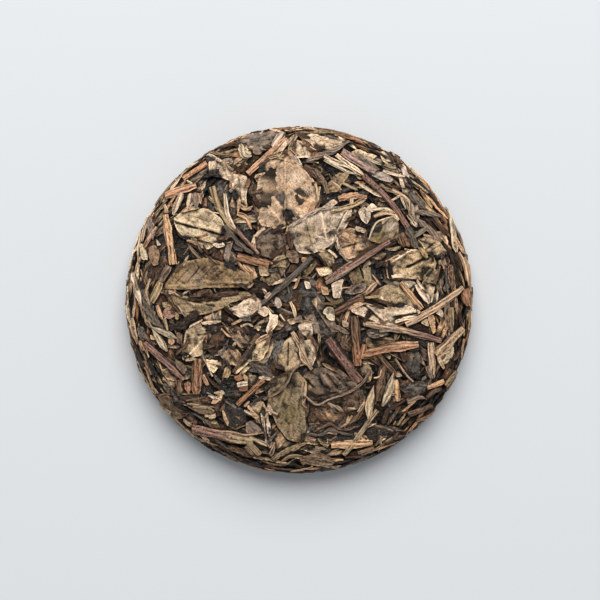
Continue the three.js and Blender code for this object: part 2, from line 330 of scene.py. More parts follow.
# A leaf, in millimetres
LEAF_THICKNESS = 0.42
LEAF_GAP = 0.25  # how far it lies over what it rests on
LEAF_STIFFNESS = 2.2  # over how many cells it bends
TIP_WIDTH = 0.5
RIB_SIZE = 2.1  # how far apart a ribbed leaf's ribs are
WIDE_LEAF = 9.0  # from what width a leaf counts as wide
TEAR_SHARE = {"wide": 0.2, "narrow": 0.38}  # how deep the tears in its edge are
RELIEF_ROOM = 1.3  # how far its folds may stand over its level
RELIEF_ROOM_BELOW = 0.3  # and on the underside, which is pressed flatter


def soft_cap(height, cap, softness=0.22):
    """Presses what stands over the cap down to it."""
    over = np.clip((cap - height) / softness, -40, 40)
    return cap - softness * np.log1p(np.exp(over))


def thin_lines(a, b, size, drawn, slant, seed):
    """1 along wandering lines some millimetres apart, and 0 between them."""
    c, s = math.cos(slant), math.sin(slant)
    u, v = (a * c + b * s) / (size * drawn), (b * c - a * s) / size
    warp = 0.4 * noise(0.7 * u + 3.1, 0.7 * v, seed + 1)
    return np.exp(-((noise(u + warp, v - warp, seed) / 0.12) ** 2))


def face_relief(a, b, look, seed, scale):
    """Folds, ridges and grooves of a leaf at places along (a) and across (b) it,
    as millimetres, and as a share from -1 in the grooves to 1 on the ridges, which
    the materials turn into painted shade in the grooves and fold valleys and painted
    highlight on the ridges and fold crests."""
    size, slant = look["line_size"] * scale, math.radians(look["slant"])
    fold_size = look["fold_size"] * scale
    warp = 0.3 * noise(a / 4, b / 4, seed + 9)
    high = noise(a / (1.5 * fold_size) + warp, b / fold_size - warp, seed)
    low = noise(a / (1.2 * fold_size) - warp, b / (0.8 * fold_size) + warp, seed + 1)
    folds = 0.15 + 1.3 * np.abs(low) - 1.8 * np.abs(high)
    # Painted highlight along the folds' crests and painted shade along their valleys
    bright, valley_shade = np.exp(-((high / 0.06) ** 2)), np.exp(-((low / 0.06) ** 2))
    ridge = thin_lines(a, b, size, look["drawn"], slant, seed + 2)
    groove = thin_lines(a, b, 1.15 * size, look["drawn"], -0.6 * slant - 0.1, seed + 4)
    fine = noise(a / (1.2 * look["drawn"]), b / 0.9, seed + 6)
    height = look["fold"] * folds
    share = 0.5 * ridge - 0.9 * groove + 0.4 * bright - 0.7 * valley_shade + 0.25 * fine
    if "rib" in look:
        ribs = np.sin(2 * math.pi * (b + 0.12 * a + 0.6 * folds) / RIB_SIZE)
        height = height + look["rib"] * ribs
        share = share + 0.3 * ribs
    height = height + look["line"] * (0.8 * ridge - 1.1 * groove + 0.25 * fine)
    return height, np.clip(share, -1, 1)


# The corners of torn pieces, in half lengths and half widths: a wedge, a strip, a
# chip and a shard
TORN_SHAPES = [
    [(-1, 0.1), (-0.3, 0.8), (0.8, 1), (1, -0.4), (0.2, -0.9)],
    [(-1, -0.7), (-0.9, 0.8), (0.1, 0.9), (1, 0.6), (0.85, -0.8), (-0.2, -0.7)],
    [(-1, -0.2), (-0.5, 1), (0.6, 0.8), (1, 0.1), (0.4, -1), (-0.4, -0.8)],
    [(-1, 0), (-0.6, 0.7), (-0.1, 0.5), (0.3, 1), (1, 0.2), (0.5, -0.5), (0.1, -1), (-0.5, -0.6)],
]


def fragment(rng, length, width):
    """The outline of a torn piece."""
    half = np.array([length / 2, width / 2])
    corners = np.array(TORN_SHAPES[rng.choice(4, p=[0.25] * 4)], float)
    points = corners * half + rng.normal(0, 0.16, corners.shape) * [0.5, 0.9] * half
    if rng.random() < 0.5:
        points[:, 1] *= -1
        points = points[::-1]
    if rng.random() < 0.5:
        points = -points
    return points


def leaf_width(share, shape, seed):
    """Half widths, as shares of the greatest, along a whole leaf, on either side."""
    if shape == "leaf":
        round_ = np.sin(math.pi * np.clip(0.03 + 0.94 * share**0.85, 0, 1)) ** 0.75
    else:
        round_ = np.sin(math.pi * np.clip(0.05 + 0.90 * share, 0, 1)) ** 0.5
    sides = []
    for side in (0, 1):
        wave = 1 + 0.2 * noise(share * 3.1, seed * 0.37 + 5 * side, seed + 11 + side)
        jag = 0.09 * noise(share * 13, seed * 0.71 + side, seed + 13 + side)
        sides.append(np.clip(round_ * wave + jag * (round_ > 0.3), 0.02, 1.4))
    return sides


def span_across(outline, places):
    """The lowest and highest b of a closed outline at each a."""
    low = np.full(len(places), np.inf)
    high = np.full(len(places), -np.inf)
    for (a0, b0), (a1, b1) in zip(outline, np.roll(outline, -1, axis=0)):
        if abs(a1 - a0) < 1e-9:
            continue
        t = (places - a0) / (a1 - a0)
        hit = (t >= 0) & (t <= 1)
        b = b0 + t * (b1 - b0)
        low = np.where(hit, np.minimum(low, b), low)
        high = np.where(hit, np.maximum(high, b), high)
    return low, high


def rounded(outline):
    """Cuts an outline's corners."""
    points = np.asarray(outline, float)
    following = np.roll(points, -1, axis=0)
    pairs = np.stack([0.86 * points + 0.14 * following, 0.14 * points + 0.86 * following], 1)
    return pairs.reshape(-1, 2)


def slab_faces(rows, columns):
    """Triangles of a closed slab: a top grid, and three rows of points below it."""
    top = np.arange(rows * columns).reshape(rows, columns)
    low = rows * columns + np.arange(3 * columns).reshape(3, columns)
    upper, lower = grid_faces(top), grid_faces(low)[:, ::-1]
    front = strip_faces(top[0], low[0])
    back = strip_faces(top[-1, ::-1], low[2, ::-1])
    right = fan_faces(top[:, -1], low[:, -1])
    left = fan_faces(top[::-1, 0], low[::-1, 0])
    return np.concatenate([upper, lower, front, back, right, left])


def grid_faces(index):
    """Two triangles for each cell of a grid of points."""
    a, b = index[:-1, :-1].ravel(), index[:-1, 1:].ravel()
    c, d = index[1:, 1:].ravel(), index[1:, :-1].ravel()
    return np.concatenate([np.stack([a, b, c], 1), np.stack([a, c, d], 1)])


def strip_faces(upper, lower):
    """The wall between two lines of as many points."""
    return np.concatenate([np.stack([upper[:-1], lower[:-1], lower[1:]], 1),
                           np.stack([upper[:-1], lower[1:], upper[1:]], 1)])


def fan_faces(upper, lower):
    """The wall between a line of many points and one of three."""
    middle = np.full(len(upper) - 1, lower[1])
    ends = [[upper[0], lower[0], lower[1]], [upper[-1], lower[1], lower[2]]]
    return np.concatenate([np.stack([upper[:-1], middle, upper[1:]], 1), ends])


def lower_rows(grid, lowest=False):
    """The three rows under a grid: along its edges, and along its middle."""
    middle = grid.min(0) if lowest else grid[len(grid) // 2]
    return np.stack([grid[0], middle, grid[-1]])


def tube_faces(rings, sides):
    """Triangles of a closed tube: rings of points, then one point for each end."""
    index = np.arange(rings * sides).reshape(rings, sides)
    onward = np.roll(index, -1, axis=1)
    a, b = index[:-1].ravel(), onward[:-1].ravel()
    c, d = onward[1:].ravel(), index[1:].ravel()
    skin = np.concatenate([np.stack([a, b, c], 1), np.stack([a, c, d], 1)])
    first, last = rings * sides, rings * sides + 1
    start = np.stack([onward[0], index[0], np.full(sides, first)], 1)
    end = np.stack([index[-1], onward[-1], np.full(sides, last)], 1)
    return np.concatenate([skin, start, end])


class Heap:
    """All pieces laid so far, gathered by kind."""

    def __init__(self):
        self.parts = {}

    def add(self, kind, **part):
        """Keeps a piece's points, faces and what they carry."""
        self.parts.setdefault(kind, []).append(part)


def linear_tone(tone, rng, spread=0.08):
    """A tone's linear colour with a little difference from piece to piece."""
    colour = np.array(srgb(*TONES[tone]))
    brightness = math.exp(rng.normal(0, spread * 1.6))
    warmth = rng.normal(0, spread * 0.35)
    return colour * brightness * np.array([1 + warmth, 1, 1 - 1.4 * warmth])


class LeafPlan:
    """A leaf's grid in its own directions: a along it and b across it."""

    def __init__(self, middle, turn, a_low, a_high, width, cell):
        self.middle, self.turn, self.width = middle, turn, width
        self.a_low, self.a_high = a_low, a_high
        columns = max(4, int(round((a_high - a_low) / cell))) + 1
        rows = max(4, int(round(width / cell))) + 1
        self.share = np.linspace(0, 1, columns)
        self.side = np.linspace(-1, 1, rows)[:, None]
        self.a = a_low + self.share * (a_high - a_low)

    def spread(self, b, half, seed):
        """Sets the grid out on the map, with frayed ends."""
        share, side = self.share, self.side
        fray = smooth_step(0.12, 0, share) - smooth_step(0.88, 1, share)
        a = np.broadcast_to(self.a, b.shape) + 0.5 * noise(b / 2.2, 0.5 * seed, seed + 25) * fray
        c, s = math.cos(self.turn), math.sin(self.turn)
        self.a, self.b = a, b
        self.x = self.middle[0] + a * c - b * s
        self.y = self.middle[1] + a * s + b * c
        border = smooth_step(0.62, 1, np.abs(side)) + 0 * a
        self.border = np.maximum(border, smooth_step(0.1, 0, share) + smooth_step(0.9, 1, share))
        # How near a place is to the leaf's edge, for the painted highlight along it
        to_end = np.minimum(a - self.a_low, self.a_high - a)
        self.edge = smooth_step(1.3, 0.1, np.minimum((1 - np.abs(side)) * half, to_end))
        return self


def torn_plan(points, cell, seed):
    """The plan of a leaf with an outline of its own, and tears in its edge."""
    middle = points.mean(0)
    spread = np.linalg.svd(points - middle, full_matrices=False)[2][0]
    turn = math.atan2(spread[1], spread[0])
    c, s = math.cos(turn), math.sin(turn)
    local = (points - middle) @ np.array([[c, -s], [s, c]])
    plan = LeafPlan(middle, turn, local[:, 0].min(), local[:, 0].max(), np.ptp(local[:, 1]), cell)
    inner = plan.a_low + (0.006 + 0.988 * plan.share) * (plan.a_high - plan.a_low)
    low, high = span_across(local, inner)
    half = np.maximum((high - low) / 2, TIP_WIDTH / 2)
    tear_high, tear_low = torn_edge(plan.a, seed + 27), torn_edge(plan.a, seed + 21)
    tears = np.where(plan.side > 0, plan.side * tear_high, -plan.side * tear_low)
    calm = smooth_step(0, 3, half) * TEAR_SHARE["wide" if plan.width > WIDE_LEAF else "narrow"]
    return plan.spread((low + high) / 2 + plan.side * half + tears * calm, half, seed)


def whole_plan(at, heading, length, width, shape, bow, cell, seed):
    """The plan of a whole leaf, bowed sideways."""
    turn = math.radians(heading)
    plan = LeafPlan(np.array(at, float), turn, -length / 2, length / 2, width, cell)
    left, right = leaf_width(plan.share, shape, seed)
    half = np.where(plan.side > 0, left, right) * width / 2
    b = np.maximum(half, TIP_WIDTH / 2) * plan.side + bow * (1 - (2 * plan.share - 1) ** 2)
    return plan.spread(b, half, seed)


def leaf_tint(plan, tone, rng, patches, crease_tones_and_shade, seed):
    """A leaf's colour at each place, with its patches and the tones along its creases: partly their
    own colour, partly painted shade in sunken creases and painted highlight on raised ones.
    """
    x, y = plan.x, plan.y
    tint = np.broadcast_to(linear_tone(tone, rng), (*x.shape, 3)).copy()
    tint *= 1 + 0.10 * noise(x / 6.5, y / 6.5, seed + 41)[..., None]
    for spot, size, patch_tone, strength in patches:
        mx, my = on_map(spot)
        ragged = 1 + 0.5 * noise(x / 3, y / 3, seed + 43)
        within = strength * smooth_step(1.5, 0.35, np.hypot(x - mx, y - my) / size * ragged)
        tint = mixed(tint, patch_tone, within[..., None])
    for ridge, crease_tone_and_shade in crease_tones_and_shade:
        tint = mixed(tint, crease_tone_and_shade, np.clip(1.3 * ridge, 0, 1)[..., None])
    return tint


def mixed(tint, tone, share):
    """Colours with a share of a tone."""
    return tint * (1 - share) + np.array(srgb(*TONES[tone])) * share


def lay_leaf(heap, face, kind, tone, look, cap, cell, seed, at=None, heading=0.0, length=0.0,
             width=0.0, outline=None, shape="torn", bow=0.0, creases=(), patches=()):
    """Lays one leaf on what is there: its own outline, or one of a length and
    width. Creases are ridges or grooves along lines on the map, and patches are
    spots of another tone."""
    rng = np.random.default_rng([SEED, seed])
    if outline is not None:
        plan = torn_plan(rounded(on_map(outline)), cell, seed)
    elif shape == "torn":
        plan = torn_plan(at_heading(fragment(rng, length, width), at, heading), cell, seed)
    else:
        plan = whole_plan(at, heading, length, width, shape, bow, cell, seed)
    scale = min(1.8, 0.45 + plan.width / 16)
    folds, relief = face_relief(plan.a, plan.b, LOOKS[look], seed, scale)
    wave = 0.4 + noise(plan.a / 7, 2.5 * plan.side, seed + 31)
    curl = LOOKS[look]["curl"] * plan.border**2 * wave
    base = face.read(plan.x, plan.y, LEAF_STIFFNESS)
    up = soft_cap(base + LEAF_GAP + LEAF_THICKNESS, cap) + folds * min(1.0, scale) + curl
    crease_tones_and_shade = []
    for start, end, height, size, *crease_tone in creases:
        ridge = crease_height(plan.x, plan.y, on_map([start, end]), size)
        up = up + height * ridge
        # A crease's tone: partly the leaf's own colour, partly painted shade in a sunken crease and
        # painted highlight on a raised one
        crease_tones_and_shade += [(ridge, name) for name in crease_tone]
        # A raised crease gets painted highlight and a sunken one painted shade
        relief = np.clip(relief + np.sign(height) * ridge * min(1, 2 * abs(height)), -1, 1)
    room = RELIEF_ROOM_BELOW if face.below else RELIEF_ROOM
    up = soft_cap(up, cap + room, 0.3)
    tint = leaf_tint(plan, tone, rng, patches, crease_tones_and_shade, seed)
    face.raise_to(plan.x, plan.y, up)
    under = lower_rows(up - LEAF_THICKNESS * (1 - 0.45 * plan.border), lowest=True)
    fields = dict(x=plan.x, y=plan.y, along=plan.a, across=plan.b, relief=relief, edge=plan.edge)
    doubled = {k: np.concatenate([g.ravel(), lower_rows(g).ravel()]) for k, g in fields.items()}
    heap.add(kind, face=face, faces=slab_faces(*up.shape), **doubled,
             up=np.concatenate([up.ravel(), under.ravel()]),
             tint=np.concatenate([tint.reshape(-1, 3), lower_rows(tint).reshape(-1, 3)]))


def at_heading(points, at, heading):
    """Points turned to a heading and moved to a place."""
    turn = math.radians(heading)
    c, s = math.cos(turn), math.sin(turn)
    return points @ np.array([[c, s], [-s, c]]) + np.asarray(at, float)


def torn_edge(along, seed):
    """How far a torn edge stands out from its line, with notches cut into it."""
    waver = 0.8 * noise(along / 4.5, 1.3, seed) + 0.55 * noise(along / 1.7, 4.1, seed + 1)
    notch = np.clip(noise(along / 2.6, 7.7, seed + 2) - 0.3, 0, 1)
    return waver - 4.5 * notch


def crease_height(x, y, ends, width):
    """1 along a line between two ends, falling to 0 beside it."""
    (x0, y0), (x1, y1) = ends
    dx, dy = x1 - x0, y1 - y0
    t = np.clip(((x - x0) * dx + (y - y0) * dy) / (dx * dx + dy * dy), 0, 1)
    away = np.hypot(x - x0 - t * dx, y - y0 - t * dy)
    fade = smooth_step(0, 0.12, t) * smooth_step(1, 0.88, t)
    return np.exp(-((away / width) ** 2)) * fade


def curve_through(points, step):
    """Evenly spaced points of a smooth line through a few points, and how far along
    it they are."""
    points = np.asarray(points, float)
    if len(points) == 2:
        points = np.array([points[0], points.mean(0), points[1]])
    padded = np.concatenate([[2 * points[0] - points[1]], points, [2 * points[-1] - points[-2]]])
    t = np.linspace(0, 1, 24, endpoint=False)[:, None]
    line = []
    for p0, p1, p2, p3 in zip(padded, padded[1:], padded[2:], padded[3:]):
        line.append(0.5 * (2 * p1 + (p2 - p0) * t + (2 * p0 - 5 * p1 + 4 * p2 - p3) * t**2
                           + (3 * p1 - p0 - 3 * p2 + p3) * t**3))
    line = np.concatenate([*line, points[-1:]])
    away = np.concatenate([[0], np.cumsum(np.hypot(*np.diff(line, axis=0).T))])
    even = np.linspace(0, away[-1], max(3, int(round(away[-1] / step)) + 1))
    return np.stack([np.interp(even, away, line[:, 0]), np.interp(even, away, line[:, 1])], 1), even


# How a rounded piece is made: its height for its width, its grooves, how far they
# wind round it for each millimetre, its knots, and how it narrows to its ends and
# how unevenly
FORMS = {
    "twig": dict(flat=0.72, grooves=6, depth=0.09, wind=0.004, knots=0.08, ends=(0.94, 0.94),
                 torn=0.03),
    "split": dict(flat=0.55, grooves=5, depth=0.17, wind=0.006, knots=0.14, ends=(0.85, 0.75),
                  torn=0.2),
    "rolled": dict(flat=0.5, grooves=5, depth=0.28, wind=0.03, knots=0.28, ends=(0.6, 0.4),
                   torn=0.4),
    "blade": dict(flat=0.28, grooves=3, depth=0.14, wind=0.008, knots=0.2, ends=(0.75, 0.4),
                  torn=0.4),
    "bud": dict(flat=0.62, grooves=7, depth=0.09, wind=0.008, knots=0.06, ends=(0.5, 0.06),
                torn=0.0),
}
PRESSED_IN = 0.22  # how far a rounded piece is pressed in, as a share of its height
STIFF_REACH = 5.0  # over how many millimetres a stem bridges what is under it


def ends_profile(share, form, rng):
    """How wide a rounded piece is along it, against its greatest width."""
    ends, torn = FORMS[form]["ends"], FORMS[form]["torn"]
    start, end = np.clip(np.array(ends) * rng.uniform(1 - torn, 1 + torn, 2), 0.06, 0.97)
    if form == "bud":
        return np.clip(1.15 * np.sin(math.pi * (0.1 + 0.9 * share)) ** 1.3, 0.04, 1)
    rise = start + (1 - start) * smooth_step(0, rng.uniform(0.08, 0.35), share)
    fall = end + (1 - end) * smooth_step(0, rng.uniform(0.1, 0.45), 1 - share)
    return np.minimum(rise, fall)


def rod_bed(face, line, step):
    """How high a stem lies along its line: it bridges hollows and follows hills."""
    under = face.read(line[:, 0], line[:, 1], 1.5)
    reach = max(3, int(STIFF_REACH / step))
    weights = np.ones(2 * reach + 1) / (2 * reach + 1)
    steady = np.convolve(np.pad(under, reach, mode="edge"), weights, mode="valid")
    return np.maximum(0.65 * steady + 0.35 * under, under - 0.5)


def rod_tint(tone, end_tone, along, sides, rng, seed):
    """A stem's colour at each place, which may change towards its end."""
    tint = np.broadcast_to(linear_tone(tone, rng, 0.06), (len(along), sides, 3)).copy()
    tint *= 1 + 0.14 * noise(along / 9, 0.2 * seed, seed + 7)[:, None, None]
    if end_tone:
        tint = mixed(tint, end_tone, smooth_step(0.45, 0.8, along / along[-1])[:, None, None])
    return tint


def lay_rod(heap, face, kind, tone, form, points, width, cap, step, sides, seed, end_tone=None):
    """Lays a stem, a rolled leaf or a bud along a line on the map, pressed into what
    is there."""
    rng = np.random.default_rng([SEED, seed, 5])
    style = FORMS[form]
    line, along = curve_through(points, step)
    way = np.gradient(line, along, axis=0)
    way /= np.hypot(way[:, 0], way[:, 1])[:, None]
    wobble = 0.05 * width * noise(along / 6, 0.3 * seed, seed + 3)
    line = line + np.stack([-way[:, 1], way[:, 0]], 1) * wobble[:, None]
    bed = rod_bed(face, line, step)
    half = 0.5 * width * ends_profile(along / along[-1], form, rng)
    half = half * (1 + style["knots"] * noise(along / 5, 1.7 * seed, seed + 4))
    tall = half * style["flat"] * (1 + 0.08 * noise(along / 4, 0.9 * seed, seed + 5))
    axis = np.minimum(bed + tall * (1 - 2 * PRESSED_IN), cap - tall)
    angle = np.linspace(0, 2 * math.pi, sides, endpoint=False)
    wind = style["wind"] * along[:, None] * rng.choice([-1, 1])
    groove = np.cos(style["grooves"] * (angle + 2 * math.pi * wind) + rng.uniform(0, 6))
    groove = 1 + style["depth"] * groove + 0.07 * noise(along[:, None] / 2.4, angle * 2, seed + 6)
    across = half[:, None] * np.cos(angle) * groove
    x = line[:, :1] - way[:, 1:] * across
    y = line[:, 1:] + way[:, :1] * across
    up = axis[:, None] + tall[:, None] * np.sin(angle) * groove
    tint = rod_tint(tone, end_tone, along, sides, rng, seed)
    # The relief share gives painted shade in the stem's grooves and painted highlight on its ridges
    relief = np.clip((groove - 1) / (style["depth"] + 0.02), -1, 1)
    upper = slice(0, sides // 2 + 1)
    face.raise_to(x[:, upper], y[:, upper], up[:, upper])
    ends = [0, -1]
    heap.add(kind, face=face, faces=tube_faces(len(line), sides),
             x=np.concatenate([x.ravel(), line[ends, 0]]),
             y=np.concatenate([y.ravel(), line[ends, 1]]),
             up=np.concatenate([up.ravel(), axis[ends]]),
             along=np.concatenate([np.repeat(along, sides), along[ends]]),
             across=np.concatenate([np.tile(angle * 0.5 * width, len(line)), [0, 0]]),
             tint=np.concatenate([tint.reshape(-1, 3), tint[ends, 0] * 1.15]),
             relief=np.concatenate([relief.ravel(), [0.2, 0.2]]), edge=np.zeros(up.size + 2))


# ---------------------------------------------------------------- what is shown

# What is shown is set out in tables, in millimetres from the cake's middle: a point is
# a pair, and a row goes on over the lines that start with blanks

# Dark leaves deep between the others: tone, look, middle, length, width and heading
DEEP_LEAVES = """
slate satin 3,0 26 22 30
slate satin -46,65 20 14 70
slate satin -51,54 12 8 20
char satin -33,74 10 9 70
slate satin -38,51 13 7 80
slate satin -25,62 10 7 80
slate flat -31,41 7 6 10
char satin -81,49 11 8 60
slate satin -78,33 28 7 85
coal satin -90,18 12 7 80
char satin -65,27 18 8 -25
char satin -47,26 28 7 3
slate satin -36,32 16 6 -40
coal satin -11.5,25 7 6 0
slate satin -15,38 10 8 20
coal satin -5,47 10 9 60
coal satin -21,6 15 6 0
slate satin -9,5 15 11 30
slate satin 11,74 8 7 0
coal satin 24,71 24 7 -30
slate satin 39,78 18 6 -33
coal satin 15,60 11 9 50
coal satin 45,56 13 5 -15
slate satin 57,55 8 5 80
char satin 68,57 18 9 -45
char satin 72,46 16 6 0
slate satin 72,40 12 6 -45
coal satin 48,17 10 8 20
slate satin 41,22 10 6 35
char satin 26,3 9 8 0
coal satin 85,17 10 6 80
coal satin 91,-4 9 4 85
slate satin 84,-10 13 4 85
char satin 7,-7 14 12 20
slate puckered 14,-17 13 12 10
coal satin 35,-20 16 6 85
slate satin 45,-19 13 6 -5
char satin 63,-37 15 12 80
slate satin 65,-50 18 9 0
coal satin 46,-51 18 8 80
coal satin 53,-64 14 12 30
char satin 32,-73 46 10 -3
cocoa satin 58,-73 14 8 40
cocoa ribbed 61,-60 22 10 -20
coal satin 22,-86 14 8 0
coal satin 41,-87 16 6 20
coal satin 89,-38 9 5 60
char satin 12,-67 20 12 -10
char satin -12,-29 30 15 63
cocoa satin -23,-40 13 8 -40
char satin -64,-13 18 6 35
coal satin -50,-16 13 6 0
umber satin -34,-18 18 10 -40
slate satin -23,-10 11 6 0
coal satin -26,-16 7 7 40
coal satin -61,-45 16 5 85
coal satin -42,-47 12 9 0
slate satin -38,-54 12 8 10
char satin -23,-53 13 9 30
slate satin -38,-60 14 8 -35
char satin -34,-69 15 13 20
char satin -54,-69 14 7 -15
coal satin -83,-32 12 8 -60
char satin -77,-44 14 6 -45
coal satin -89,-33 16 5 -75
coal satin -54,-78 13 6 -30
coal satin -22,-91 26 8 -8
char satin -7,-80 14 7 0
char satin -84,-8 18 8 -55
slate satin 20,20 16 9 20
"""
